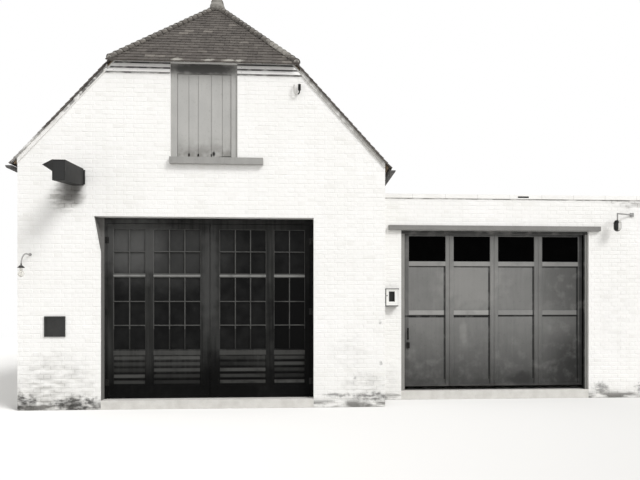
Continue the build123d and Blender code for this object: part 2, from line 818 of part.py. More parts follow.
def floodlight():
    """Long sheet-metal floodlight that stands out from the gable, with a side visor and glass."""
    x0 = flood_x - flood_w / 2
    x1 = flood_x + flood_w / 2
    end_y = -flood_reach
    side = [
        (-flood_plate_t, flood_root_high),
        (end_y, flood_end_high),
        (end_y, flood_end_low),
        (-flood_plate_t, flood_root_low),
    ]
    body = prism_x(side, x0, x1)
    low = flood_end_low + flood_glass_edge
    high = flood_end_high - flood_glass_edge
    mouth_x = (x0 + flood_glass_edge, x1 - flood_glass_edge)
    body -= block(*mouth_x, end_y - 1, end_y + flood_glass_t, low, high)
    glass = block(*mouth_x, end_y + flood_glass_t / 3, end_y + flood_glass_t, low, high)
    visor = [(x0, flood_end_high), (x0 - flood_visor_out, flood_visor_tip_z), (x0, flood_visor_foot_z)]
    body += prism_y(visor, end_y, end_y + flood_visor_t)
    mid_z = (flood_root_low + flood_root_high) / 2
    half = flood_plate / 2
    body += block(flood_x - half, flood_x + half, -flood_plate_t, 0, mid_z - half, mid_z + half)
    return body, glass


def gable_hook():
    """U-shaped rod hook with a pottery insulator standing on its short limb."""
    left = hook_x - hook_half
    right = hook_x + hook_half
    foot_z = hook_z + hook_right_h
    route = [(left, hook_top_z)]
    route += bend(hook_x, hook_z, hook_half, 180, 360)
    route.append((right, foot_z))
    hook = bent_rod([(x, -hook_out, z) for x, z in route], hook_rod_r)
    hook += rod_y(left, hook_top_z - hook_rod_r, -hook_out, 0, hook_rod_r)
    return hook + rod_z(right, -hook_out, foot_z, foot_z + insulator_h, insulator_r)


def wall_plate():
    """Square dark plate with a raised rim round a bare face."""
    half = plate_size / 2
    plate = block(plate_x - half, plate_x + half, -plate_t, 0, plate_z - half, plate_z + half)
    inner = half - plate_rim
    face_y = -plate_t + plate_sink
    sunk = block(plate_x - inner, plate_x + inner, -plate_t - 1, face_y, plate_z - inner, plate_z + inner)
    return plate - sunk


def wall_box():
    """White call box with a deep slot in its front and a drip lip over it."""
    x0 = wall_box_left
    x1 = x0 + wall_box_w
    y0 = wing_y - wall_box_d
    z0 = wall_box_z - wall_box_h / 2
    z1 = wall_box_z + wall_box_h / 2
    box = block(x0, x1, y0, wing_y, z0, z1)
    box += block(x0, x1 + wall_box_lip, y0 - wall_box_lip, wing_y, z1 - wall_box_lip_h, z1)
    slot_x = x0 + wall_box_slot_x
    slot_z = wall_box_z + wall_box_slot_z
    half_w = wall_box_slot_w / 2
    half_h = wall_box_slot_h / 2
    slot = (slot_x - half_w, slot_x + half_w, y0 - 1, y0 + wall_box_slot_d)
    return box - block(*slot, slot_z - half_h, slot_z + half_h)


def wing_lamp():
    """Arm that leaves the wall at an angle, with a drop rod, cap and glass bowl at its end."""
    rose_y = wing_y - wing_lamp_rose_t
    half = wing_lamp_rose / 2
    end_x = wing_lamp_x - wing_lamp_left
    end_y = wing_y - wing_lamp_out
    low = wing_lamp_z - wing_lamp_drop
    cap_z = low - wing_lamp_cap_h / 2
    route = [(wing_lamp_x, rose_y + wing_lamp_arm_in, wing_lamp_z)]
    route += [(end_x, end_y, wing_lamp_z), (end_x, end_y, cap_z)]
    lamp = bent_rod(route, wing_lamp_arm_r)
    lamp += block(
        wing_lamp_x - half, wing_lamp_x + half, rose_y, wing_y, wing_lamp_z - half, wing_lamp_z + half
    )
    lamp += Pos(end_x, end_y, cap_z) * Cone(wing_lamp_cap_r, wing_lamp_cap_top_r, wing_lamp_cap_h)
    rim_z = low - wing_lamp_cap_h
    straight = wing_lamp_bowl_h - wing_lamp_bowl_r
    bowl = rod_z(end_x, end_y, rim_z - straight, rim_z, wing_lamp_bowl_r)
    ball = Pos(end_x, end_y, rim_z - straight) * Sphere(wing_lamp_bowl_r)
    reach = wing_lamp_bowl_r + 1
    lower = (end_x - reach, end_x + reach, end_y - reach, end_y + reach)
    bowl += ball & block(*lower, rim_z - straight - reach, rim_z - straight)
    return lamp, bowl


def fitting_nodes():
    """Small fittings on the walls."""
    swan, bulb = swan_neck_lamp()
    flood, flood_glass = floodlight()
    lamp, bowl = wing_lamp()
    return {
        "wall_plate": wall_plate(),
        "wall_box": wall_box(),
        "gable_hook": gable_hook(),
        "swan_neck_lamp": swan,
        "floodlight": flood,
        "wing_lamp": lamp,
        "lamp_glasses": bulb + flood_glass + bowl,
    }


def build():
    """Every node by name."""
    nodes = {}
    nodes.update(wall_nodes())
    nodes.update(roof_nodes())
    nodes["verge_strips"] = verge_strips()
    nodes["weatherboards"] = weatherboards()
    right = gutter()
    nodes["gutters"] = right + mirror(right, about=Plane.YZ)
    nodes.update(loft_door_nodes())
    nodes.update(engine_door_nodes())
    nodes.update(wing_nodes())
    nodes.update(wing_door_nodes())
    nodes.update(fitting_nodes())
    return nodes


os.makedirs("parts", exist_ok=True)
for name, shape in build().items():
    export_step(shape, f"parts/{name}.step")
    print(name, round(shape.volume / 1e9, 4), "m3")
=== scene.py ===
# %% [markdown]
# A small old fire station, finished in Blender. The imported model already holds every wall, door and
# fitting at its real size, so this lesson adds only what the eye expects on top of them: laid clay
# tiles, brickwork under limewash, weathered paint, glass and small fixings.
# Nothing here moves the building. Each new piece is made where the frame says, and then rides on it.

# %% Load the building as a fixed frame
import math

import bmesh
import bpy
from mathutils import Matrix, Vector


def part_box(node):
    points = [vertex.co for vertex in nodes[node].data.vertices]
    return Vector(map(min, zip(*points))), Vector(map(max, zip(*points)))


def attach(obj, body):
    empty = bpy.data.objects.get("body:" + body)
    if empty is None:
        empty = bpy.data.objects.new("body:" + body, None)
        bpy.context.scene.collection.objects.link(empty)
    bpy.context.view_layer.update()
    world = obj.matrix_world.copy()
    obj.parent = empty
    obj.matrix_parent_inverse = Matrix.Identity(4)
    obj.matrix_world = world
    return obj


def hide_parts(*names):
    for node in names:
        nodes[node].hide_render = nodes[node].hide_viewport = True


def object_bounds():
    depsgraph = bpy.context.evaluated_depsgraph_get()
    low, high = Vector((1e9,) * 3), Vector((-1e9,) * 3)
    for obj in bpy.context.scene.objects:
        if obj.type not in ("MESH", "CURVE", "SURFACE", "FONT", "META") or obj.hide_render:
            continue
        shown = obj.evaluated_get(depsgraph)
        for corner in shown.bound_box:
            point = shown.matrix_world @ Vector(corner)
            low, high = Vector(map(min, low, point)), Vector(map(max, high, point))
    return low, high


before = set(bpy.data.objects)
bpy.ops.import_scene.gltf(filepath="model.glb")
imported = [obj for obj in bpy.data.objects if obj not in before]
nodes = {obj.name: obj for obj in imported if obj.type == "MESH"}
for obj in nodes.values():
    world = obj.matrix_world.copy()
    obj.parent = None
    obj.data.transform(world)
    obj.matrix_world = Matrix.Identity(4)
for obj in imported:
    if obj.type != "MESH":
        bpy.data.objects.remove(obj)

cad_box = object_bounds()
building = "building"
print("the model has", len(nodes), "nodes and reaches from", cad_box[0][:], "to", cad_box[1][:])

# %% [markdown]
# A camera first, so that every later choice is judged in the right picture. The photograph was taken
# from the street with the lens level but turned a little to the right of square: the level lines of
# the front run together towards that side. The building stands high in the picture because the frame
# was shifted up, not because the lens was tipped: a small shift does the same and keeps walls upright.

# %% Camera
picture_width_px = 640
picture_height_px = 480
focal_length_px = 650
axis_px = 345
horizon_px = 302.5
street_eye = (1.650, -11.125, 1.795)
turned_right = math.radians(3.75)

lens = bpy.data.cameras.new("street_camera")
lens.sensor_width = 36
lens.lens = lens.sensor_width * focal_length_px / picture_width_px
lens.shift_x = (picture_width_px / 2 - axis_px) / picture_width_px
lens.shift_y = (horizon_px - picture_height_px / 2) / picture_width_px
camera = bpy.data.objects.new("street_camera", lens)
camera.location = street_eye
camera.rotation_euler = (math.pi / 2, 0, -turned_right)
bpy.context.scene.collection.objects.link(camera)
bpy.context.scene.camera = camera
print("lens of", round(lens.lens, 2), "mm, shifted by", round(lens.shift_x, 3), round(lens.shift_y, 3))

# %% [markdown]
# Two helpers carry the whole lesson. One turns a colour written as a web code into the linear numbers
# that Blender works with. The other adds one node to any tree, shader or geometry, sets its options
# and fills its sockets with plain values or with links, so that a tree reads like a recipe.

# %% Helpers for colours and nodes
MIX = "ShaderNodeMix"
NOISE = "ShaderNodeTexNoise"
RANGE = "ShaderNodeMapRange"
RANDOM = "FunctionNodeRandomValue"
# A node that can do several sums is named together with the sum
PLUS = "ShaderNodeMath ADD"
MINUS = "ShaderNodeMath SUBTRACT"
TIMES = "ShaderNodeMath MULTIPLY"
TIMES_PLUS = "ShaderNodeMath MULTIPLY_ADD"
DIVIDED = "ShaderNodeMath DIVIDE"
REMAINDER = "ShaderNodeMath FLOORED_MODULO"
ROUNDED_DOWN = "ShaderNodeMath FLOOR"
SMALLER = "ShaderNodeMath MINIMUM"
LARGER = "ShaderNodeMath MAXIMUM"
LESS = "ShaderNodeMath LESS_THAN"


def linear(code):
    """A web colour such as #c0b8a0 as linear red, green and blue with full alpha."""
    shares = [int(code[i:i + 2], 16) / 255 for i in (1, 3, 5)]
    return (*(s / 12.92 if s <= 0.04045 else ((s + 0.055) / 1.055) ** 2.4 for s in shares), 1.0)


def add(tree, kind, sockets=(), **options):
    """Add one node. Sockets come in order, or by name or number among those in use: a node stands for
    its first output in use, a socket is linked, a web colour is turned linear, the rest is plain."""
    kind, *sum_done = kind.split()
    node = tree.nodes.new(kind)
    for option, value in (*options.items(), *(("operation", name) for name in sum_done)):
        setattr(node, option, value)
    for key, value in sockets.items() if isinstance(sockets, dict) else enumerate(sockets):
        used = [s for s in node.inputs if s.enabled]
        socket = used[key] if isinstance(key, int) else next(s for s in used if s.name == key)
        if isinstance(value, str) and value.startswith("#"):
            value = linear(value)
        if isinstance(value, bpy.types.Node):
            value = next(s for s in value.outputs if s.enabled)
        if isinstance(value, bpy.types.NodeSocket):
            tree.links.new(value, socket)
        else:
            socket.default_value = value
    return node


print("white is", linear("#ffffff")[:3], "and mid grey is", round(linear("#808080")[0], 3))

# %% [markdown]
# The light is a bright overcast day: an even sky, with a little more coming from high on the right,
# which is where the deep doorways and sunk panels of the photograph put their shade. The sky that
# lights the walls is kept below full white so that limewash keeps its texture, while what the camera,
# the glass and the metal see of it is plain white.

# %% Sky and soft sun
sky_strength = 0.86
sun_strength = 2.0
sun_softness = 0.35
sun_towards = Vector((-0.62, 0.62, -0.75))


def seen_directly(tree):
    """1 for what the camera, a mirror or glass sees, and 0 for what only lights the scene."""
    ray = add(tree, "ShaderNodeLightPath").outputs
    mirrored = add(tree, LARGER, (ray["Is Glossy Ray"], ray["Is Transmission Ray"]))
    return add(tree, LARGER, (ray["Is Camera Ray"], mirrored))


world = bpy.data.worlds.new("overcast_sky")
world.use_nodes = True
bpy.context.scene.world = world
sky = world.node_tree
sky.nodes.clear()
seen = seen_directly(sky)
lighting = add(sky, "ShaderNodeBackground", {"Color": "#ffffff", "Strength": sky_strength})
backdrop = add(sky, "ShaderNodeBackground", {"Color": "#ffffff", "Strength": 1.0})
both = add(sky, "ShaderNodeMixShader", (seen, lighting, backdrop))
add(sky, "ShaderNodeOutputWorld", {"Surface": both})

sun = bpy.data.objects.new("soft_sun", bpy.data.lights.new("soft_sun", "SUN"))
sun.data.energy = sun_strength
sun.data.angle = sun_softness
sun.rotation_euler = sun_towards.to_track_quat("-Z", "Y").to_euler()
bpy.context.scene.collection.objects.link(sun)
bpy.context.scene.view_settings.view_transform = "Standard"
print("sky at", sky_strength, "and sun at", sun_strength)

# %% [markdown]
# The floor is not part of the building. It stays matt and pale near the walls, so that it keeps their
# shadow, and turns into the white of the backdrop further out, measured on the floor itself, so that no
# horizon line cuts the picture.

# %% Pale floor
floor_half = 90
floor_drop = 0.002
plain_radius = 13
white_radius = 26


def new_material(name):
    """An empty node material, ready for a shader, and its tree."""
    material = bpy.data.materials.new(name)
    material.use_nodes = True
    material.node_tree.nodes.clear()
    return material, material.node_tree


studio, tree = new_material("studio_floor")
place = add(tree, "ShaderNodeTexCoord").outputs["Object"]
centre = (cad_box[0] + cad_box[1]) / 2
away = add(tree, "ShaderNodeVectorMath DISTANCE", (place, (centre.x, centre.y, 0))).outputs["Value"]
ring = {"Value": away, "From Min": plain_radius, "From Max": white_radius}
fade = add(tree, RANGE, ring, interpolation_type="SMOOTHSTEP")
share = add(tree, TIMES, (fade, seen_directly(tree)))
matt = add(tree, "ShaderNodeBsdfDiffuse", {"Color": "#dddcda", "Roughness": 1.0})
glow = add(tree, "ShaderNodeEmission", {"Color": "#ffffff", "Strength": 1.0})
floor_look = add(tree, "ShaderNodeMixShader", (share, matt, glow))
add(tree, "ShaderNodeOutputMaterial", {"Surface": floor_look})

floor_mesh = bpy.data.meshes.new("studio_floor")
corners = [
    (x * floor_half, y * floor_half, -floor_drop) for x, y in ((-1, -1), (1, -1), (1, 1), (-1, 1))
]
floor_mesh.from_pydata(corners, [], [(0, 1, 2, 3)])
floor = bpy.data.objects.new("studio_floor", floor_mesh)
floor.data.materials.append(studio)
bpy.context.scene.collection.objects.link(floor)
print("floor of", 2 * floor_half, "m, white beyond", white_radius, "m")

# %% [markdown]
# Surfaces outdoors share a few habits: a colour wanders a little over the face, rain and soil leave
# ragged patches at known places, and brushed or cast surfaces are never flat. Each habit is one short
# function that works on any material, in metres on the building itself, so that a pattern runs on
# from one piece to the next as real weather does.

# %% Weather in small steps
def place_of(tree, stretch=(1, 1, 1)):
    """The point on the building, in metres, with a pattern's axes stretched if asked."""
    place = add(tree, "ShaderNodeTexCoord").outputs["Object"]
    if stretch == (1, 1, 1):
        return place
    return add(tree, "ShaderNodeMapping", {"Vector": place, "Scale": stretch}).outputs["Vector"]


def wander(tree, grain_mm, low=0.3, high=0.7, detail=3.0, stretch=(1, 1, 1)):
    """A soft random mask from 0 to 1 whose blotches are about grain_mm across."""
    spots = {"Vector": place_of(tree, stretch), "Scale": 1000 / grain_mm, "Detail": detail}
    cloud = add(tree, NOISE, spots)
    return add(tree, RANGE, {"Value": cloud, "From Min": low, "From Max": high})


def tinted(tree, below, above, mask, share=1.0):
    """Colour above laid over colour below where the mask is, at most by share."""
    amount = add(tree, TIMES, (mask, share), use_clamp=True)
    return add(tree, MIX, {"Factor": amount, "A": below, "B": above}, data_type="RGBA")


def patch(tree, centre, half_size, ragged=0.5, grain_mm=120):
    """A ragged stain round one point of the building, fading out at half_size each way."""
    from_centre = add(tree, "ShaderNodeVectorMath SUBTRACT", (place_of(tree), centre))
    in_radii = add(tree, "ShaderNodeVectorMath DIVIDE", (from_centre, half_size))
    reach = add(tree, "ShaderNodeVectorMath LENGTH", (in_radii,)).outputs["Value"]
    edge = wander(tree, grain_mm, 0.2, 0.8)
    uneven = add(tree, TIMES_PLUS, (edge, ragged, reach))
    fade = {"Value": uneven, "From Min": 1.0 + ragged / 2, "From Max": 0.35 + ragged / 2}
    return add(tree, RANGE, fade, interpolation_type="SMOOTHSTEP")


def band(tree, axis, start, end):
    """A mask that is 0 at start and 1 at end along one axis of the building."""
    along = add(tree, "ShaderNodeSeparateXYZ", {"Vector": place_of(tree)}).outputs[axis]
    fade = {"Value": along, "From Min": start, "From Max": end}
    return add(tree, RANGE, fade, interpolation_type="SMOOTHSTEP")


def within(tree, soft=0.002, **sides):
    """A mask that is 1 inside a box given as X=(low, high) and so on, for the axes that matter."""
    inside = None
    for axis, (low, high) in sides.items():
        for mask in (band(tree, axis, low, low + soft), band(tree, axis, high, high - soft)):
            inside = mask if inside is None else product(tree, inside, mask)
    return inside


def product(tree, *masks):
    """What several masks have in common."""
    whole = masks[0]
    for mask in masks[1:]:
        whole = add(tree, TIMES, (whole, mask), use_clamp=True)
    return whole


def relief(tree, *layers):
    """A normal from several layers of unevenness, each a mask and its height in millimetres."""
    normal = None
    for height, height_mm in layers:
        sockets = {"Height": height, "Distance": height_mm / 1000, "Strength": 1.0}
        if normal is not None:
            sockets["Normal"] = normal
        normal = add(tree, "ShaderNodeBump", sockets)
    return normal


def coat(tree, colour, normal=None, **sockets):
    """The shader itself and the material's output. Uniform values stand on its own sockets."""
    filled = {"Base Color": colour}
    if normal is not None:
        filled["Normal"] = normal
    for name, value in sockets.items():
        filled[name.replace("_", " ")] = value
    shader = add(tree, "ShaderNodeBsdfPrincipled", filled)
    add(tree, "ShaderNodeOutputMaterial", {"Surface": shader})


print("weather helpers are ready")

# %% [markdown]
# The roof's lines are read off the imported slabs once. The tiles are laid by them later, and until
# then they tell the finishes where mortar and soot follow a slope instead of a level line.

# %% Lines of the roof
def corners_of(name):
    """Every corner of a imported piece."""
    return [v.co.copy() for v in nodes[name].data.vertices]


def furthest(name, *ways):
    """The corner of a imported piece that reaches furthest, judged along several ways in turn."""
    return max(corners_of(name), key=lambda corner: [round(corner.dot(Vector(way)), 4) for way in ways])


eave = furthest("roof_right", (1, 0, 0), (0, 0, 1))
ridge = furthest("roof_right", (0, 0, 1))
hip_foot = furthest("hip_front", (0, -1, 0), (0, 0, 1))
hip_top = furthest("hip_front", (0, 0, 1), (0, 1, 0))
roof_slope = (ridge.z - eave.z) / eave.x
hip_slope = (hip_top.z - hip_foot.z) / (hip_top.y - hip_foot.y)
print("slopes rise", round(roof_slope, 3), "and the half hips", round(hip_slope, 3))
print("both reach", round(ridge.z, 3), "m")


def below_slopes(tree, near, far):
    """A mask of the strip that runs along both slopes, from near to far metres square below them."""
    at = add(tree, "ShaderNodeSeparateXYZ", {"Vector": place_of(tree)}).outputs
    aside = add(tree, "ShaderNodeMath ABSOLUTE", (at["X"],))
    risen = add(tree, TIMES_PLUS, (aside, roof_slope, at["Z"]))
    below = add(tree, MINUS, (ridge.z, risen))
    square = add(tree, DIVIDED, (below, math.hypot(1, roof_slope)))
    over = add(tree, RANGE, {"Value": square, "From Min": near - 0.004, "From Max": near})
    under = add(tree, RANGE, {"Value": square, "From Min": far, "From Max": far - 0.015})
    return product(tree, over, under)


# %% [markdown]
# Limewash is slaked lime brushed over brick in coat after coat. It rounds the joints without hiding them,
# dries chalky and slightly warm, and carries dirt where rain splashes up or runs down. The bricks are real
# geometry here and carry a tone of their own; the wall behind them, which has none, is the joints, and soil
# settles there first. Each stain of the photograph is one named patch. Some shade is painted into the
# limewash as well: dark lines of shadow and soot under the coping and the lowest weatherboard, a soft shadow
# with soot under the floodlight, and the dark left jamb of the engine doorway.

# %% Limewashed brick
def limewashed_brick(name, stains, soot, lines, foot_z, boxes):
    """Limewash with light stains, dark soot marks, dark level lines of painted shadow and soot under
    overhangs, a dirty foot, and boxes in another colour, painted shade among them. A stain is a centre, a
    size and a strength, a line its low and high side and a strength, and a box its sides, colour, strength
    and, for a soft edge, the length of its fade."""
    material, tree = new_material(name)
    tone = add(tree, "ShaderNodeAttribute", attribute_name="tone").outputs["Fac"]
    joint = add(tree, LESS, (tone, 0.02))
    chalk = tinted(tree, "#f3f2f0", "#eeedea", wander(tree, 900))
    thin = product(tree, wander(tree, 45, 0.55, 0.8), wander(tree, 700, 0.45, 0.75))
    chalk = tinted(tree, chalk, "#dddcd6", thin, 0.3)
    brick_shade = add(tree, RANGE, {"Value": tone, "From Min": 0.85, "From Max": 1.0})
    chalk = tinted(tree, chalk, "#dcdad4", brick_shade, 0.25)
    chalk = tinted(tree, chalk, "#c9c7c1", joint, 0.1)
    settled = add(tree, RANGE, {"Value": joint, "To Min": 0.6, "To Max": 1.0})
    runs = wander(tree, 130, 0.5, 0.8, stretch=(1, 1, 0.12))
    chalk = tinted(tree, chalk, "#cfcdc6", runs, 0.10)
    smeared = wander(tree, 75, 0.36, 0.62, 4.0, stretch=(0.3, 0.3, 1))
    for centre, half_size, strength in stains:
        mark = patch(tree, centre, half_size)
        chalk = tinted(tree, chalk, "#8d8b86", product(tree, mark, settled, smeared), strength)
    rising = product(tree, band(tree, "Z", foot_z, 0.0), settled)
    chalk = tinted(tree, chalk, "#aaa79f", rising, 0.25)
    streaky = wander(tree, 90, 0.38, 0.58, 5.0, stretch=(0.3, 0.3, 1))
    splash = product(tree, band(tree, "Z", 0.42 * foot_z, 0.10 * foot_z), streaky)
    chalk = tinted(tree, chalk, "#4a4843", splash, 0.8)
    clotted = wander(tree, 60, 0.34, 0.56, 5.0, stretch=(0.4, 0.4, 1))
    for centre, half_size, strength in soot:
        mark = product(tree, patch(tree, centre, half_size, 0.7, 60), clotted)
        chalk = tinted(tree, chalk, "#2b2a28", mark, strength)
    # Painted shadow with soot: each level line darkens the wall under an overhang.
    for low, high, strength in lines:
        darkened = within(tree, 0.004, Z=(low, high))
        broken = wander(tree, 210, 0.34, 0.6, 4.0, stretch=(1, 1, 0.2))
        chalk = tinted(tree, chalk, "#3a3936", product(tree, darkened, broken), strength)
    for sides, shade, strength, *fade in boxes:
        chalk = tinted(tree, chalk, shade, within(tree, *fade, **sides), strength)
    brushed = wander(tree, 9, 0.3, 0.7, 4.0, stretch=(0.5, 0.5, 1))
    uneven = wander(tree, 70, 0.2, 0.8)
    coat(tree, chalk, relief(tree, (uneven, 3.0), (brushed, 0.8)), Roughness=0.92, Specular_IOR_Level=0.25)
    return material


# Each stain: centre, half sizes and strength, in metres on the building
main_stains = [
    ((-2.50, 0, 0.40), (0.85, 1, 0.70), 0.55),
    ((-2.75, 0, 0.25), (0.45, 1, 0.35), 0.50),
    ((2.46, 0, 0.95), (0.42, 1, 0.42), 0.20),
    # Painted shadow with soot: this patch and the next, under the floodlight.
    ((-2.25, 0, 3.58), (0.34, 1, 0.38), 1.0),
    ((-2.45, 0, 3.50), (0.20, 1, 0.24), 0.6),
    ((2.70, 0, 0.40), (0.50, 1, 0.28), 0.50),
    ((-1.76, 0, 2.92), (0.06, 1, 0.50), 0.30),
    ((0.2, 8.5, 0.5), (1.6, 1, 0.6), 0.40),
    ((-3.06, 5.2, 0.6), (1, 1.9, 0.7), 0.40),
    ((-3.06, 1.6, 3.3), (1, 0.8, 0.9), 0.25),
]
main_soot = [
    ((2.98, 0, 1.46), (0.04, 1, 0.05), 0.6),
    ((3.00, 0, 0.75), (0.04, 1, 0.05), 0.6),
    ((2.55, 0, 0.49), (0.04, 1, 0.04), 0.4),
    ((-2.98, 0, 0.14), (0.30, 1, 0.17), 0.9),
    ((-2.12, 0, 0.11), (0.52, 1, 0.16), 0.85),
    ((2.85, 0, 0.18), (0.45, 1, 0.10), 0.7),
    ((2.25, 0, 0.21), (0.30, 1, 0.05), 0.6),
]
wing_stains = [
    ((7.95, 0.8, 3.72), (0.70, 1, 0.24), 0.9),
    ((7.58, 0.8, 1.9), (0.55, 1, 1.5), 0.10),
    ((8.42, 3.6, 0.7), (1, 2.2, 0.8), 0.40),
    ((5.65, 7.3, 0.6), (1.5, 1, 0.7), 0.35),
    ((3.28, 0.8, 0.42), (0.18, 1, 0.35), 0.22),
    ((3.27, 0.8, 1.62), (0.15, 1, 0.10), 0.30),
]
wing_soot = [
    ((7.27, 0.8, 0.18), (0.20, 1, 0.14), 0.6),
    ((8.20, 0.8, 0.20), (0.30, 1, 0.20), 0.7),
]
coping_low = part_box("wing_coping")[0]
# Painted shadow with soot: a dark line on the wall under the coping.
wing_soot_and_shadow_lines = [(coping_low.z - 0.020, coping_low.z, 0.7)]
left_low, left_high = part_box("left_wall")
right_low, right_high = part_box("right_wall")
room = {"X": (left_high.x - 0.01, right_low.x + 0.01), "Y": (left_low.y - 0.01, left_high.y + 0.01)}
bay_low, bay_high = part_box("engine_door_frame")
# Painted shade: the deep left jamb of the engine doorway is coloured dark.
shaded_jamb = {"X": (bay_low.x - 0.20, bay_low.x + 0.01), "Y": (0.012, 0.34), "Z": (-0.1, bay_high.z)}
# Painted shadow with soot: a soft dark blot on the wall under the floodlight.
floodlight_shadow_and_soot = {"X": (-2.48, -1.92), "Y": (-1, 0.3), "Z": (3.34, 3.98)}
main_boxes = [(room, "#8f8c85", 0.9), (shaded_jamb, "#4e4c49", 0.85), (floodlight_shadow_and_soot, "#4a4845", 0.8, 0.22)]
boards_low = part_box("weatherboards")[0]
# Painted shadow with soot: a dark line on the wall under the lowest weatherboard.
main_soot_and_shadow_lines = [(boards_low.z - 0.024, boards_low.z, 0.8)]
main_limewash = limewashed_brick("limewashed_brick", main_stains, main_soot, main_soot_and_shadow_lines, 0.45, main_boxes)
wing_limewash = limewashed_brick("limewashed_wing_brick", wing_stains, wing_soot, wing_soot_and_shadow_lines, 0.4, ())
print("limewash with", len(main_stains) + len(wing_stains), "stains")

# %% [markdown]
# The roof is hand-made plain clay tile. The tiles were fired in a clamp, so their tones differ from
# one to the next, and long years of weather have grown lichen on them. Each laid tile carries its own tone
# as an attribute: most are dark, a few pale ones stand out, as they do along the front eave.

# %% Clay tiles, ridge tiles and mortar
def fired_clay(name, dark, light, pale, lichen, pale_from, washed=()):
    """Clay whose tone follows each tile. Lichen and washed, where the limewash brush strayed over the
    tiles, are lists of patches: centre, size, strength."""
    material, tree = new_material(name)
    tone = add(tree, "ShaderNodeAttribute", attribute_name="tone").outputs["Fac"]
    clay = tinted(tree, dark, light, tone)
    is_pale = add(tree, RANGE, {"Value": tone, "From Min": pale_from, "From Max": 1.0})
    clay = tinted(tree, clay, pale, is_pale, 0.6)
    clay = tinted(tree, clay, "#2e2b29", wander(tree, 90, 0.45, 0.75, 4.0), 0.5)
    specks = product(tree, wander(tree, 22, 0.56, 0.66), wander(tree, 500, 0.4, 0.7))
    clay = tinted(tree, clay, "#8f8c84", specks, 0.45)
    for centre, half_size, strength in lichen:
        clay = tinted(tree, clay, "#b9b6ae", patch(tree, centre, half_size, 0.8, 60), strength)
    for centre, half_size, strength in washed:
        clay = tinted(tree, clay, "#eeedea", patch(tree, centre, half_size, 0.6, 90), strength)
    gritty = wander(tree, 5, 0.3, 0.7, 4.0)
    rough = relief(tree, (wander(tree, 60, 0.3, 0.7), 1.5), (gritty, 0.5))
    coat(tree, clay, rough, Roughness=0.86, Specular_IOR_Level=0.3)
    return material


def lime_mortar(name, colour, darkened, sides=(), dashes=0.0):
    """Lime and sand mortar, pressed in by trowel: pale, gritty and dirty in patches. Sides are boxes in
    another colour, and dashes say how dark the broken line of painted shade in the gaps under the verge
    tiles is."""
    material, tree = new_material(name)
    mortar = tinted(tree, colour, darkened, wander(tree, 90, 0.42, 0.68, 4.0), 0.7)
    for limits, shade, strength in sides:
        greyed = product(tree, within(tree, 0.02, **limits), wander(tree, 180, 0.2, 0.5, 4.0))
        mortar = tinted(tree, mortar, shade, greyed, strength)
    if dashes:
        # Painted shade: a broken dark line under the tiles of the left verge, fading out towards its foot.
        fading = band(tree, "X", -2.6, -2.0)
        gap_shade = product(tree, below_slopes(tree, 0.0, 0.085), wander(tree, 75, 0.36, 0.5, 2.0), fading)
        gap_shade = product(tree, gap_shade, band(tree, "X", 0.5, -0.5))
        mortar = tinted(tree, mortar, "#45433f", gap_shade, dashes)
    mortar = tinted(tree, mortar, "#4d4a45", wander(tree, 30, 0.62, 0.75, 4.0), 0.5)
    rough = relief(tree, (wander(tree, 25, 0.3, 0.7, 4.0), 3.0), (wander(tree, 3), 0.6))
    coat(tree, mortar, rough, Roughness=0.95)
    return material


eave_lichen = [((x, -0.12, 5.86), (0.12, 0.2, 0.05), 0.6) for x in (-0.44, 0.08, 0.43, 0.60)]
hip_lichen = [((1.25, 0.25, 6.2), (0.40, 0.55, 0.42), 0.5)]
verge_wash = [((-2.85, 0, 4.45), (0.60, 0.08, 0.62), 0.95)]
clay_tiles = fired_clay(
    "hand_made_clay_tile", "#524d49", "#635e59", "#857f78", eave_lichen, 0.93, verge_wash,
)
ridge_clay = fired_clay("weathered_ridge_clay", "#4c4844", "#6a655f", "#85807a", hip_lichen, 0.9)
ridge_mortar = lime_mortar("ridge_mortar", "#8d8a84", "#6b6863")
tail_mortar = lime_mortar("tail_mortar", "#c4c1ba", "#8f8c86")
grey_verge = [({"X": (0.5, 4), "Y": (-1, 1)}, "#a3a19c", 0.85)]
verge_mortar = lime_mortar("verge_mortar", "#efeeeb", "#dddbd6", grey_verge, 0.85)
print("clay in", len(eave_lichen) + len(hip_lichen), "lichen patches")

# %% [markdown]
# Painted wood comes in several tempers here: white weatherboards, grey frames and sills, the grey folding
# door and the near-black engine doors. All were brushed by hand along the wood. What the eye reads is a
# slight unevenness of colour, a sheen that varies, dirt low down and fading high up. Shade and light are
# painted into these colours too: dark lines under board butts, rails and the drip board, in gaps and sunk
# panels, a pale glare on the engine doors and lighter boards at their foot.

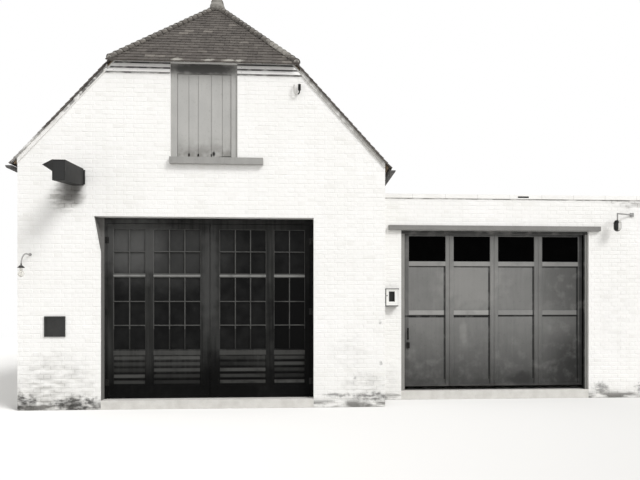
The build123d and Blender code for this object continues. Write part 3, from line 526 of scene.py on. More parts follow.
# %% Brushed paint on wood
def brushed_paint(
    name, colour, faded, darkened, wear, gloss, foot=None, marks=(), boxes=(), grain=0.0, shine=0.5,
):
    """Oil paint on joinery. Foot is a low and a high height between which dirt thins out; marks are patches
    in another colour, some of them painted shade and glare: centre, size, colour, strength. Boxes are rails,
    bars, edges and lines in another colour, some weathered and some painted shade and light: the box's
    sides, colour, strength and, for a slow change, the length of its fade. Grain is how much the wood's
    fibres show, shine how much the paint mirrors."""
    material, tree = new_material(name)
    paint = tinted(tree, colour, faded, wander(tree, 420, 0.35, 0.7), 0.5)
    streaks = wander(tree, 60, 0.5, 0.75, 4.0, stretch=(1, 1, 0.1))
    paint = tinted(tree, paint, faded, streaks, 0.3)
    if grain:
        upright = wander(tree, 38, 0.42, 0.66, 5.0, stretch=(1, 1, 0.03))
        paint = tinted(tree, paint, darkened, upright, grain)
    paint = tinted(tree, paint, darkened, wander(tree, 35, 0.6, 0.8, 5.0), 0.35)
    if foot:
        dirt = product(tree, band(tree, "Z", foot[1], foot[0]), wander(tree, 120, 0.25, 0.6, 4.0))
        paint = tinted(tree, paint, darkened, dirt, 0.7)
    for centre, half_size, shade, strength in marks:
        paint = tinted(tree, paint, shade, patch(tree, centre, half_size, 0.5, 150), strength)
    # Weathering, and painted shade and light, laid on by boxes.
    for sides, shade, strength, *fade in boxes:
        wear_and_painted_light = product(tree, within(tree, *(fade or [0.006]), **sides), wander(tree, 160, 0.0, 0.5))
        paint = tinted(tree, paint, shade, wear_and_painted_light, strength)
    flakes = wander(tree, 14, 1 - wear, 1 - wear + 0.04, 3.0)
    paint = tinted(tree, paint, darkened, flakes, 0.6)
    brush = wander(tree, 5, 0.3, 0.7, 2.0, stretch=(1, 1, 0.06))
    sheen = add(tree, RANGE, {"Value": wander(tree, 150), "To Min": gloss, "To Max": min(1.0, gloss + 0.2)})
    coat(tree, paint, relief(tree, (brush, 0.25), (flakes, 0.3)), Roughness=sheen, Specular_IOR_Level=shine)
    return material


board_pitch = 0.082
board_heads = [boards_low.z + course * board_pitch for course in range(3)]
# Painted shadow with soot: a dark line just under the butt of each weatherboard.
butt_soot_and_shadow = [({"Z": (head - 0.028, head + 0.004)}, "#2b2a28", 0.95) for head in board_heads]
white_boards = brushed_paint(
    "white_painted_boards", "#f3f2f0", "#ebeae7", "#a8a69f", 0.24, 0.55, boxes=butt_soot_and_shadow,
)
door_low, door_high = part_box("wing_door_frame")
leaves_low, leaves_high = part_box("wing_door_leaves")
# Painted shade: dark in the gap right of the leaves and over the frame head under the drip board.
frame_painted_shadow = [
    ({"X": (leaves_high.x, door_high.x - 0.048)}, "#131312", 0.95),
    ({"Z": (leaves_high.z - 0.002, door_high.z)}, "#191918", 0.9),
]
frame_paint = brushed_paint(
    "grey_frame_paint", "#82817e", "#92918d", "#4d4c49", 0.28, 0.5, boxes=frame_painted_shadow,
)
sill_paint = brushed_paint("grey_sill_paint", "#8f8e8b", "#a3a29e", "#575552", 0.28, 0.55)
drip_paint = brushed_paint("drip_board_paint", "#777673", "#888784", "#4a4946", 0.26, 0.5)
wing_marks = [
    ((5.79, 0.85, 0.36), (0.36, 1, 0.18), "#1c1c1b", 0.85),
    ((5.03, 0.85, 0.30), (0.25, 1, 0.10), "#3a3938", 0.5),
    ((4.66, 0.85, 1.25), (0.10, 1, 0.30), "#a9a8a4", 0.25),
    ((4.80, 0.85, 2.15), (0.9, 1, 0.7), "#8d8c89", 0.5),
]
pane_sides = sorted({round(corner.x, 3) for corner in corners_of("wing_door_glass")})
wing_rail_z = 1.557
wing_rail_h = 0.093
# Painted shade on the folding door: black lines under the rails, at the right edge and top of each sunk
# panel, over the glass and at the leaves' right edge. Besides, the door is darker towards the bottom, the
# right and its left stile, and lighter on its rails.
wing_door_boxes = [
    ({"Z": (-2, 1.7)}, "#2c2c2b", 0.75, 1.5),
    ({"X": (5.7, 9)}, "#1b1b1a", 0.65, 1.6),
    ({"X": (leaves_high.x - 0.055, leaves_high.x + 0.01)}, "#111110", 0.9),
    ({"X": (6.0, 9), "Z": (-1, 1.5)}, "#0c0c0b", 0.75, 0.8),
    ({"X": (5.9, 9), "Z": (1.4, 3)}, "#1b1b1a", 0.3, 0.5),
    ({"Z": (3.036, 3.2)}, "#1b1b1a", 0.65),
    ({"X": (leaves_low.x - 1, leaves_low.x + 0.074)}, "#3f3e3d", 0.55),
    (
        {"X": (leaves_low.x - 1, leaves_low.x + 0.08), "Z": (wing_rail_z - 0.04, wing_rail_z + 0.004)},
        "#0a0a0a", 1.0,
    ),
]
for number, (start, end) in enumerate(zip(pane_sides[::2], pane_sides[1::2])):
    column = {"X": (start, end)}
    under_rail, rail_shade = (0.045, 0.6) if number < 2 else (0.030, 0.25)
    wing_door_boxes += [
        ({**column, "Z": (wing_rail_z - under_rail, wing_rail_z + 0.004)}, "#0a0a0a", 1.0),
        ({**column, "Z": (wing_rail_z + 0.008, wing_rail_z + wing_rail_h)}, "#a5a4a1", rail_shade),
        ({"X": (end - 0.036, end + 0.002), "Z": (0.36, 2.48)}, "#141413", 0.9),
        ({**column, "Z": (2.450, 2.475)}, "#141413", 0.85),
        ({**column, "Z": (2.480, 2.560)}, "#9a9996", 0.5),
    ]
wing_paint = brushed_paint(
    "folding_door_paint", "#6f6f6d", "#7f7e7c", "#454442", 0.22, 0.5, (0.2, 0.8), wing_marks,
    wing_door_boxes, grain=0.08, shine=0.3,
)
# Painted reflection and shade: a pale glare over the doors' upper left and painted shade over their
# right-hand column; the meeting stile is lighter and the foot darker.
glare_and_shade = [
    ((-1.25, 0.2, 2.75), (0.95, 1, 0.8), "#4d4d4c", 0.8),
    ((0.05, 0.2, 2.2), (0.20, 1, 1.2), "#484847", 0.6),
    ((1.60, 0.2, 1.0), (0.8, 1, 2.0), "#0b0b0b", 0.8),
    ((0.35, 0.2, 0.40), (0.9, 1, 0.8), "#090909", 0.85),
    ((-1.0, 0.2, 0.25), (1.2, 1, 0.5), "#0d0d0d", 0.6),
]
# The doors darken towards their foot, and painted shade darkens their right-hand side.
rails = [
    ({"Z": (-1, 0.95)}, "#060606", 0.75, 0.6),
    ({"X": (1.1, 3)}, "#080808", 0.75, 0.7),
]
# The boarded foot of the engine doors: from the bottom rail to the lock rail, in five boards
boarding_low = 0.370
boarding_high = 0.887
boarding_count = 5
step = (boarding_high - boarding_low) / boarding_count
for glass_name in ("engine_glass_left", "engine_glass_right"):
    corners = corners_of(glass_name)
    low_z, middle_low, middle_high, top_z = sorted({round(c.z, 3) for c in corners})
    sides = sorted({round(c.x, 3) for c in corners})
    for start, end in zip(sides[::2], sides[1::2]):
        column = {"X": (start, end)}
        rails += [
            ({**column, "Z": (low_z + 0.35, top_z)}, "#636361", 0.6),
            ({**column, "Z": (low_z + 0.01, low_z + 0.34)}, "#3f3f3e", 0.4),
            ({**column, "Z": (middle_low + 0.008, middle_high - 0.012)}, "#838381", 0.95),
            ({**column, "Z": (low_z - 0.100, low_z - 0.010)}, "#4c4c4a", 0.6),
        ]
        # Painted highlight: each board of the boarded foot is lighter where it catches the sky, some more
        # than others, with its joint left dark.
        for board in range(boarding_count):
            low = boarding_low + board * step
            paler = (0.15, 0.35, 0.2, 0.6, 0.45)[(board + len(rails)) % 5]
            rails.append(({**column, "Z": (low + 0.22 * step, low + 0.95 * step)}, "#575755", paler, 0.02))
door_paint = brushed_paint(
    "engine_door_paint", "#2c2c2b", "#3c3c3b", "#0c0c0b", 0.2, 0.5, (0.15, 0.9), glare_and_shade, rails,
    grain=0.6, shine=0.06,
)
# Dark rot with painted shade in the notches at the foot of the loft boards, and a dark streak along their
# foot.
loft_dark = [
    ((0.145, 0.05, 4.32), (0.035, 1, 0.06), "#151413", 1.0),
    ((-0.27, 0.05, 4.30), (0.025, 1, 0.05), "#201f1d", 0.9),
    ((-0.12, 0.05, 4.29), (0.022, 1, 0.04), "#201f1d", 0.9),
    ((0.38, 0.05, 4.27), (0.20, 1, 0.025), "#1d1c1a", 0.9),
]
loft_paint = brushed_paint(
    "weathered_loft_paint", "#a8a7a4", "#b6b5b1", "#6f6d68", 0.3, 0.65, (4.24, 4.7), loft_dark,
)
# Painted shadow: the head of the loft frame is dark under the hip's overhang.
hip_shadow = [((0.0, 0.05, 5.76), (0.9, 1, 0.15), "#4a4947", 1.0)]
loft_frame_paint = brushed_paint(
    "loft_frame_paint", "#a3a29f", "#b4b3af", "#5d5b57", 0.28, 0.6, marks=hip_shadow,
)
print("eight paints mixed")

# %% [markdown]
# Glass in old doors is thin float or drawn sheet: clear, green only at its edge, with dust in the corners. A
# dark room behind it makes it look black, and the white sky reflects faintly in it. On the engine doors a
# pale glare is painted into the dust as a reflection, and their right-hand panes are painted near black as
# shade; the wing lamp carries painted shade and highlight. Iron is painted black over rust, sheet iron and
# cement are matt greys. Each keeps typical values for its kind.

# %% Glass, iron and the other finishes
def dusty_glass(name, dust_colour, dust_share, tint, glare_patches=(), clear_share=0.0, shine=0.12, dark=()):
    """Sheet glass with a thin uneven film of dust. The film is a matt layer over the glass; glare patches
    thicken it as a painted reflection. Dark boxes lay a darker pane over parts, painted shade and highlight
    among them. Panes in front of a dark room let nothing through, which spares the render its noise."""
    material, tree = new_material(name)
    clear = add(tree, "ShaderNodeBsdfPrincipled", {
        "Base Color": tint, "Roughness": 0.05, "IOR": 1.5, "Transmission Weight": clear_share,
        "Specular IOR Level": shine,
    })
    film = add(tree, "ShaderNodeBsdfPrincipled", {"Base Color": dust_colour, "Roughness": 0.9})
    dust_and_glare = add(tree, TIMES, (wander(tree, 180, 0.3, 0.8, 4.0), dust_share))
    # Painted reflection: each glare patch thickens the pale film.
    for centre, half_size, strength in glare_patches:
        cloud = add(tree, TIMES, (patch(tree, centre, half_size, 0.15), strength))
        dust_and_glare = add(tree, PLUS, (dust_and_glare, cloud), use_clamp=True)
    pane = add(tree, "ShaderNodeMixShader", (dust_and_glare, clear, film))
    # Darker panes over boxes, painted shade among them.
    for sides, colour in dark:
        darker_pane = add(tree, "ShaderNodeBsdfPrincipled", {
            "Base Color": colour, "Roughness": 0.35, "Specular IOR Level": shine,
        })
        pane = add(tree, "ShaderNodeMixShader", (within(tree, **sides), pane, darker_pane))
    add(tree, "ShaderNodeOutputMaterial", {"Surface": pane})
    return material


def matt_solid(name, colour, worn, worn_share, grain_mm, height_mm, roughness, shine=0.5, boxes=()):
    """A plain solid finish: two colours that wander, over an evenly rough surface. Boxes are parts or marks
    in another colour, painted shade and highlight among them: the box's sides, colour, strength."""
    material, tree = new_material(name)
    mixed = tinted(tree, colour, worn, wander(tree, grain_mm * 8, 0.4, 0.7, 4.0), worn_share)
    mixed = tinted(tree, mixed, worn, wander(tree, grain_mm, 0.55, 0.7), worn_share / 2)
    for sides, shade, strength in boxes:
        mixed = tinted(tree, mixed, shade, within(tree, **sides), strength)
    rough = relief(tree, (wander(tree, grain_mm, 0.3, 0.7, 4.0), height_mm))
    coat(tree, mixed, rough, Roughness=roughness, Specular_IOR_Level=shine)
    return material


# Painted reflection: a pale glare over the engine doors' upper left.
door_glare = [((-1.35, 0.23, 2.80), (0.80, 1, 0.75), 0.6), ((-0.70, 0.23, 2.70), (1.5, 1, 0.9), 0.35)]
# Painted shade: the right-hand column of panes near black.
shaded_panes = [({"X": (1.12, 1.8), "Z": (0.9, 2.26)}, "#030303")]
engine_glass = dusty_glass(
    "engine_door_glass", "#484847", 0.12, "#080808", door_glare, shine=0.08, dark=shaded_panes,
)
wing_glass = dusty_glass("wing_door_glass", "#121212", 0.03, "#010101", shine=0.01)
flood_low, flood_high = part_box("floodlight")
flood_sides = {
    "X": (flood_low.x - 0.1, flood_high.x + 0.1), "Z": (flood_low.z - 0.1, flood_high.z + 0.1),
}
wing_lamp_low, wing_lamp_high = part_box("wing_lamp")
lamp_x = wing_lamp_low.x
wing_lamp_sides = {"X": (lamp_x - 0.1, wing_lamp_high.x + 0.1)}
lamp_glass = dusty_glass(
    "opal_lamp_glass", "#e6e4de", 0.75, "#f2f0ea", clear_share=1.0, shine=0.5,
    dark=[
        (flood_sides, "#141413"),
        (wing_lamp_sides, "#c9c7c3"),
        # Painted shade and highlight: the wing lamp's glass is dark at its left, right and foot round a pale
        # middle.
        ({"X": (lamp_x - 0.1, lamp_x + 0.062), "Z": (3.10, 3.40)}, "#080808"),
        ({"X": (lamp_x + 0.115, lamp_x + 0.2), "Z": (3.10, 3.26)}, "#3a3938"),
        ({"X": wing_lamp_sides["X"], "Z": (3.0, 3.135)}, "#2b2a29"),
    ],
)
swan_low, swan_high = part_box("swan_neck_lamp")
swan_cap = {"X": (swan_low.x - 0.1, swan_high.x + 0.1), "Z": (swan_low.z - 0.1, swan_low.z + 0.07)}
caps_and_painted_light = [
    (swan_cap, "#242322", 0.95),
    # Painted shade and highlight: the wing lamp's housing is black on its left and pale on its right.
    ({"X": (lamp_x - 0.1, lamp_x + 0.07), "Z": (3.2, 3.35)}, "#0d0d0c", 1.0),
    ({"X": (lamp_x + 0.07, lamp_x + 0.2), "Z": (3.2, 3.35)}, "#b5b3af", 0.8),
]
gutter_paint = matt_solid("black_gutter_paint", "#3f3e3d", "#6d6b68", 0.5, 30, 0.4, 0.6)
hook_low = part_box("gable_hook")[0]
hook_limb = [({"X": (hook_low.x - 0.1, hook_low.x + 0.078), "Y": (-1, 1), "Z": (5, 6)}, "#c4c2be", 0.95)]
black_iron = matt_solid("black_painted_iron", "#121211", "#2b2825", 0.5, 12, 0.3, 0.55, 0.15, hook_limb)
hinge_iron = matt_solid("forged_hinge_iron", "#1b1b1a", "#2d2a28", 0.5, 10, 0.3, 0.5, 0.15)
lamp_sheet = matt_solid("weathered_sheet_iron", "#262625", "#3a3938", 0.5, 40, 0.3, 0.7, 0.3)
plate_enamel = matt_solid("dark_enamel", "#2c2c2b", "#454442", 0.4, 25, 0.1, 0.35, 0.3)
call_low, call_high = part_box("wall_box")
rim = 0.018
case_right = 3.398
slot = {"X": (3.225, 3.335), "Y": (call_low.y + 0.010, call_high.y), "Z": (1.810, 1.998)}
# Painted shade: the call box's slot and a dark outline round its case, darkest at the left and the foot.
box_painted_shade = [
    (slot, "#121211", 1.0),
    ({"X": (call_low.x - 1, call_low.x + 0.038)}, "#2b2a28", 0.95),
    ({"X": (case_right - 0.5 * rim, call_high.x + 1)}, "#8d8b87", 0.5),
    ({"Z": (call_low.z - 1, call_low.z + rim)}, "#1f1e1d", 0.95),
    ({"Z": (call_high.z - rim, call_high.z + 1)}, "#4a4947", 0.9),
]
box_enamel = matt_solid("white_enamel", "#eeeeeb", "#cccac5", 0.3, 30, 0.1, 0.4, boxes=box_painted_shade)
bracket_iron = matt_solid("weathered_bracket_iron", "#929190", "#a8a6a2", 0.5, 12, 0.3, 0.7, 0.3, caps_and_painted_light)
cast_concrete = matt_solid("cast_concrete", "#d6d4cf", "#bbb8b2", 0.5, 20, 1.0, 0.9)
# Painted shade with soot: a black gap where the coping is chipped.
chip_shade_and_soot = {
    "X": (5.655, 5.885), "Y": (coping_low.y + 0.002, 0.84),
    "Z": (coping_low.z + 0.008, coping_low.z + 0.056),
}
coping_boxes = [(chip_shade_and_soot, "#141413", 1.0)]
block_length = 0.61
for axis, first, count in (("X", coping_low.x, 8), ("Y", coping_low.y + 0.35, 10)):
    for number in range(1, count + 1):
        joint_at = first + block_length * number
        coping_boxes.append(({axis: (joint_at, joint_at + 0.007)}, "#a09d97", 0.6))
coping_cement = matt_solid("limewashed_coping", "#f1f0ed", "#e2e0db", 0.5, 30, 1.2, 0.9, boxes=coping_boxes)
roofing_felt = matt_solid("mineral_felt", "#62605e", "#7b7975", 0.5, 12, 0.8, 0.95)
pine_planks = matt_solid("pine_planks", "#8d7a62", "#6d5c48", 0.6, 40, 0.5, 0.8)
print("glass and solid finishes are ready")

# %% [markdown]
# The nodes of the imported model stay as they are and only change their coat: every slot of every
# node's own object gets the finish of the real piece.

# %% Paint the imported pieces
finish_of = {
    main_limewash: ("front_piers", "front_gable", "rear_wall", "left_wall", "right_wall"),
    wing_limewash: ("wing_front_wall", "wing_end_wall", "wing_rear_wall"),
    clay_tiles: ("roof_left", "roof_right", "hip_front", "hip_rear"),
    ridge_clay: ("ridge_tiles", "hip_tiles"),
    verge_mortar: ("verge_strips",),
    white_boards: ("weatherboards",),
    gutter_paint: ("gutters",),
    loft_frame_paint: ("loft_door_frame",),
    sill_paint: ("loft_sill",),
    loft_paint: ("loft_door",),
    drip_paint: ("drip_board",),
    frame_paint: ("wing_door_frame",),
    wing_paint: ("wing_door_leaves",),
    door_paint: ("engine_door_frame", "engine_door_left", "engine_door_right"),
    engine_glass: ("engine_glass_left", "engine_glass_right"),
    wing_glass: ("wing_door_glass",),
    lamp_glass: ("lamp_glasses",),
    hinge_iron: ("engine_hinges", "hinge_straps_left", "hinge_straps_right"),
    black_iron: ("wing_door_handle", "gable_hook"),
    bracket_iron: ("swan_neck_lamp", "wing_lamp"),
    lamp_sheet: ("floodlight",),
    plate_enamel: ("wall_plate",),
    box_enamel: ("wall_box",),
    cast_concrete: ("main_floor", "wing_floor"),
    coping_cement: ("wing_coping",),
    roofing_felt: ("wing_roof",),
    pine_planks: ("loft_floor",),
}
for finish, names in finish_of.items():
    for name in names:
        for slot in nodes[name].material_slots:
            slot.material = finish
unpainted = set(nodes) - {name for names in finish_of.values() for name in names}
print("painted", len(nodes) - len(unpainted), "nodes, left out:", sorted(unpainted))

# %% [markdown]
# Geometry Nodes lay everything that repeats. A tree takes named sizes, works out where each brick or
# tile goes from its number alone, and ends as one plain mesh. The modifier's inputs are found by the
# name that the tree gives them and set by their identifier before the mesh is read once.

# %% Running a tree
FLOAT = "NodeSocketFloat"
WHOLE = "NodeSocketInt"
VECTOR = "NodeSocketVector"
OBJECT = "NodeSocketObject"
counters = {"laid": 0}


def new_tree(name, **inputs):
    """A Geometry Nodes tree with named inputs, and the node that hands them out."""
    tree = bpy.data.node_groups.new(name, "GeometryNodeTree")
    for label, kind in inputs.items():
        tree.interface.new_socket(label, in_out="INPUT", socket_type=kind)
    tree.interface.new_socket("Geometry", in_out="OUTPUT", socket_type="NodeSocketGeometry")
    return tree, add(tree, "NodeGroupInput").outputs


def close_tree(tree, given, copies, material):
    """Give each laid copy a tone of its own, carry them to their face of the building, realize them
    and set the material."""
    tone = add(tree, RANDOM, {"Min": 0.05, "Max": 1.0, "Seed": given["Seed"]}, data_type="FLOAT")
    toned = {"Geometry": copies, "Name": "tone", "Value": tone}
    laid = add(tree, "GeometryNodeStoreNamedAttribute", toned, data_type="FLOAT", domain="INSTANCE")
    facing = add(tree, "FunctionNodeEulerToRotation", {"Euler": given["Facing"]})
    sockets = {"Geometry": laid, "Translation": given["Origin"], "Rotation": facing}
    carried = add(tree, "GeometryNodeTransform", sockets)
    solid = add(tree, "GeometryNodeRealizeInstances", {"Geometry": carried})
    coated = add(tree, "GeometryNodeSetMaterial", {"Geometry": solid, "Material": material})
    add(tree, "NodeGroupOutput", {"Geometry": coated})


def grow(name, tree, **sizes):
    """Run the tree with these sizes and keep the result as one plain mesh."""
    piece = bpy.data.objects.new(name, bpy.data.meshes.new(name))
    bpy.context.scene.collection.objects.link(piece)
    modifier = piece.modifiers.new(tree.name, "NODES")
    modifier.node_group = tree
    for item in tree.interface.items_tree:
        if item.in_out == "INPUT" and item.name in sizes:
            modifier[item.identifier] = sizes[item.name]
    bpy.context.view_layer.update()
    seen_now = bpy.context.evaluated_depsgraph_get()
    shape = piece.evaluated_get(seen_now)
    piece_mesh = bpy.data.meshes.new_from_object(shape, preserve_all_data_layers=True, depsgraph=seen_now)
    piece.modifiers.remove(modifier)
    piece.data = piece_mesh
    piece_mesh.name = name
    finish = piece_mesh.materials[-1]
    piece_mesh.materials.clear()
    piece_mesh.materials.append(finish)
    piece_mesh.polygons.foreach_set("material_index", [0] * len(piece_mesh.polygons))
    return piece


def settle(piece, body, slot_name, *replaced):
    """Give a finished piece its body, and hide the nodes that it stands for. The slot name is not used."""
    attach(piece, body)
    if replaced:
        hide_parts(*replaced)
    counters["laid"] += len(piece.data.polygons)
    print(piece.name, "has", len(piece.data.polygons), "faces")


def made_of(name, work, *materials):
    """A worked shape as an object of its own in the scene."""
    mesh = bpy.data.meshes.new(name)
    work.to_mesh(mesh)
    work.free()
    for material in materials:
        mesh.materials.append(material)
    made = bpy.data.objects.new(name, mesh)
    bpy.context.scene.collection.objects.link(made)
    return made


def join(name, pieces):
    """Several meshes as one piece."""
    whole = bmesh.new()
    for piece in pieces:
        whole.from_mesh(piece.data)
    joined = made_of(name, whole, *pieces[0].data.materials)
    for piece in pieces:
        bpy.data.objects.remove(piece)
    return joined


def saw(piece, cuts):
    """Saw a piece along planes, each a point and the way that falls off, and close the sawn ends."""
    work = bmesh.new()
    work.from_mesh(piece.data)
    for point, off in cuts:
        everything = work.verts[:] + work.edges[:] + work.faces[:]
        cut = bmesh.ops.bisect_plane(work, geom=everything, plane_co=point, plane_no=off, clear_outer=True)
        rims = [e for e in cut["geom_cut"] if isinstance(e, bmesh.types.BMEdge)]
        bmesh.ops.holes_fill(work, edges=rims, sides=0)
    bmesh.ops.recalc_face_normals(work, faces=work.faces)
    work.to_mesh(piece.data)
    work.free()
    return piece


print("ready to run a tree")

# %% [markdown]
# The bricks. Under the limewash the walls are laid in Flemish bond: in every course a long stretcher
# and a short header take turns, and each header sits over the middle of a stretcher. Each brick could be
# a dent in a bump map, but raking light and the outline of a corner want real relief, so the tree lays
# one shallow pad a brick, trims it at the wall's edges and gives it a tone for the limewash to use.

# %% Flemish bond
def bond_tree(material):
    """Lay brick pads in a rectangle. Along the face is X, up is Z and the face looks to -Y."""
    tree, given = new_tree(
        "flemish_bond", Left=FLOAT, Right=FLOAT, Low=FLOAT, High=FLOAT, Courses=WHOLE, Pairs=WHOLE,
        Lowest=WHOLE, Leftmost=WHOLE, Stretcher=FLOAT, Header=FLOAT, Joint=FLOAT, Course=FLOAT,
        Proud=FLOAT, Least=FLOAT, Seed=WHOLE, Origin=VECTOR, Facing=VECTOR,
    )
    index = add(tree, "GeometryNodeInputIndex")
    is_header = add(tree, REMAINDER, (index, 2))
    half_index = add(tree, DIVIDED, (index, 2))
    pair_index = add(tree, ROUNDED_DOWN, (half_index,))
    pair = add(tree, REMAINDER, (pair_index, given["Pairs"]))
    row_share = add(tree, DIVIDED, (pair_index, given["Pairs"]))
    row = add(tree, ROUNDED_DOWN, (row_share,))
    course = add(tree, PLUS, (row, given["Lowest"]))
    odd = add(tree, REMAINDER, (course, 2))
    pair_from_left = add(tree, PLUS, (pair, given["Leftmost"]))
    pair_shifted = add(tree, TIMES_PLUS, (odd, 0.5, pair_from_left))
    two_bricks = add(tree, PLUS, (given["Stretcher"], given["Header"]))
    pair_length = add(tree, TIMES_PLUS, (given["Joint"], 2, two_bricks))
    pair_start = add(tree, TIMES, (pair_shifted, pair_length))
    step_on = add(tree, PLUS, (given["Stretcher"], given["Joint"]))
    start = add(tree, TIMES_PLUS, (is_header, step_on, pair_start))
    shorter = add(tree, MINUS, (given["Header"], given["Stretcher"]))
    full = add(tree, TIMES_PLUS, (is_header, shorter, given["Stretcher"]))
    end = add(tree, PLUS, (start, full))
    bed = add(tree, TIMES, (course, given["Course"]))
    next_bed = add(tree, PLUS, (bed, given["Course"]))
    crown = add(tree, MINUS, (next_bed, given["Joint"]))
    left = add(tree, LARGER, (start, given["Left"]))
    right = add(tree, SMALLER, (end, given["Right"]))
    low = add(tree, LARGER, (bed, given["Low"]))
    high = add(tree, SMALLER, (crown, given["High"]))
    width = add(tree, MINUS, (right, left))
    height = add(tree, MINUS, (high, low))
    smaller = add(tree, SMALLER, (width, height))
    kept = add(tree, "ShaderNodeMath GREATER_THAN", (smaller, given["Least"]))
    across = add(tree, TIMES_PLUS, (width, 0.5, left))
    up = add(tree, TIMES_PLUS, (height, 0.5, low))
    middle_of = add(tree, "ShaderNodeCombineXYZ", {"X": across, "Z": up})
    both_kinds = add(tree, TIMES, (given["Pairs"], 2))
    count = add(tree, TIMES, (both_kinds, given["Courses"]))
    places = add(tree, "GeometryNodePoints", {"Count": count, "Position": middle_of})
    uneven = add(tree, RANDOM, {"Min": 0.4, "Max": 1.5, "Seed": given["Seed"]}, data_type="FLOAT")
    depth = add(tree, TIMES, (uneven, given["Proud"]))
    size = add(tree, "ShaderNodeCombineXYZ", {"X": width, "Y": depth, "Z": height})
    sway = {"Min": (-0.004, -0.008, -0.006), "Max": (0.004, 0.008, 0.006), "Seed": given["Seed"]}
    swayed = add(tree, RANDOM, sway, data_type="FLOAT_VECTOR")
    turn = add(tree, "FunctionNodeEulerToRotation", {"Euler": swayed})
    cube = add(tree, "GeometryNodeMeshCube", {"Size": (1, 1.3, 1)}).outputs["Mesh"]
    sunk = add(tree, "GeometryNodeTransform", {"Geometry": cube, "Translation": (0, -0.35, 0)})
    at = add(tree, "GeometryNodeInputPosition")
    depth_at = add(tree, "ShaderNodeSeparateXYZ", {"Vector": at}).outputs["Y"]
    in_front = add(tree, LESS, (depth_at, 0.0))
    drawn_in = add(tree, "ShaderNodeVectorMath MULTIPLY", (at, (0.95, 1, 0.86)))
    moved = {"Geometry": sunk, "Selection": in_front, "Position": drawn_in}
    pad = add(tree, "GeometryNodeSetPosition", moved)
    sockets = {"Points": places, "Selection": kept, "Instance": pad, "Rotation": turn, "Scale": size}
    bricks = add(tree, "GeometryNodeInstanceOnPoints", sockets)
    close_tree(tree, given, bricks, material)
    return tree


bond = {
    "Stretcher": 0.215, "Header": 0.1025, "Joint": 0.010, "Course": 0.075, "Proud": 0.0025, "Least": 0.012,
}
pair_m = bond["Stretcher"] + bond["Header"] + 2 * bond["Joint"]
main_bond = bond_tree(main_limewash)
wing_bond = bond_tree(wing_limewash)
counters["seed"] = 0


def brick_face(tree, left, right, low, high, origin=(0, 0, 0), facing=0):
    """One rectangle of bricks. Facing is the angle in degrees from a wall that looks to -Y."""
    low = max(low, 0.002)
    lowest = math.floor(low / bond["Course"])
    leftmost = math.floor(left / pair_m) - 1
    counters["seed"] += 1
    return grow(
        f"bricks_{counters['seed']}", tree, Left=left, Right=right, Low=low, High=high,
        Lowest=lowest, Courses=math.ceil(high / bond["Course"]) - lowest,
        Leftmost=leftmost, Pairs=math.ceil(right / pair_m) + 1 - leftmost,
        Seed=counters["seed"], Origin=Vector(origin), Facing=Vector((0, 0, math.radians(facing))), **bond,
    )


trial = brick_face(main_bond, 0, 1, 0, 1)
print("a square metre takes", len(trial.data.polygons) // 6, "bricks")
bpy.data.objects.remove(trial)

# %% [markdown]
# The main block's walls. Each wall is a few rectangles between its openings, read from the packed
# pieces, and the parts under the roof are sawn along its slopes. A pad never turns a corner, so the
# faces run a brick's relief past the corner to close it.

# %% Bricks of the main block
half_width = right_high.x
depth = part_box("rear_wall")[1].y
piers_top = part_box("front_piers")[1].z
loft_low, loft_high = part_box("loft_door_frame")
wing_low, wing_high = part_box("wing_front_wall")
wing_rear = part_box("wing_rear_wall")[1]
corner = bond["Proud"]
under_tiles = 0.055


def under_slopes(piece):
    """Saw a piece below both slopes, under_tiles metres square under the tiles."""
    stretch = math.hypot(1, roof_slope)
    cuts = []
    for side in (-1, 1):
        off = Vector((side * roof_slope, 0, 1)) / stretch
        cuts.append((Vector((0, 0, ridge.z)) - off * under_tiles, off))
    return saw(piece, cuts)


jamb_corners = [c for c in corners_of("front_piers") if c.x < bay_low.x + 0.001 and c.y < 0.001]
chip_foot = max(c.z for c in jamb_corners if abs(c.x - bay_low.x) < 0.002)
chip_head = max(c.x for c in jamb_corners if c.z > piers_top - 0.002)
along_chip = Vector((bay_low.x - chip_head, 0, chip_foot - piers_top))
off_chip = Vector((-along_chip.z, 0, along_chip.x)).normalized()
left, right = -half_width - corner, half_width + corner
beside_chip = brick_face(main_bond, left, bay_low.x, chip_foot, piers_top)
beside_chip = saw(beside_chip, [(Vector((chip_head, 0, piers_top)), off_chip)])
piers = join("pier_bricks", [
    brick_face(main_bond, left, bay_low.x, 0, chip_foot),
    beside_chip,
    brick_face(main_bond, bay_high.x, right, 0, piers_top),
])
gable = under_slopes(join("gable_bricks", [
    brick_face(main_bond, left, right, piers_top, loft_low.z),
    brick_face(main_bond, left, loft_low.x, loft_low.z, boards_low.z),
    brick_face(main_bond, loft_high.x, right, loft_low.z, boards_low.z),
]))
left_bricks = brick_face(main_bond, -depth - corner, corner, 0, eave.z, (-half_width, 0, 0), -90)
on_the_right = ((half_width, 0, 0), 90)
right_bricks = join("right_wall_bricks", [
    brick_face(main_bond, -corner, wing_low.y, 0, wing_high.z, *on_the_right),
    brick_face(main_bond, -corner, depth + corner, wing_high.z, eave.z, *on_the_right),
    brick_face(main_bond, wing_rear.y, depth + corner, 0, wing_high.z, *on_the_right),
])
rear_bricks = under_slopes(brick_face(main_bond, left, right, 0, boards_low.z, (0, depth, 0), 180))
left_bricks.name = "left_wall_bricks"
rear_bricks.name = "rear_wall_bricks"
for piece in (piers, gable, left_bricks, right_bricks, rear_bricks):
    settle(piece, building, "whitewashed_brick")
print("courses of the main block:", math.ceil(boards_low.z / bond["Course"]))

# %% [markdown]
# The wing is built of the same brick, as long and low as a garage needs. Its front is mostly door, so
# only two narrow piers and the wall over the opening show bricks.

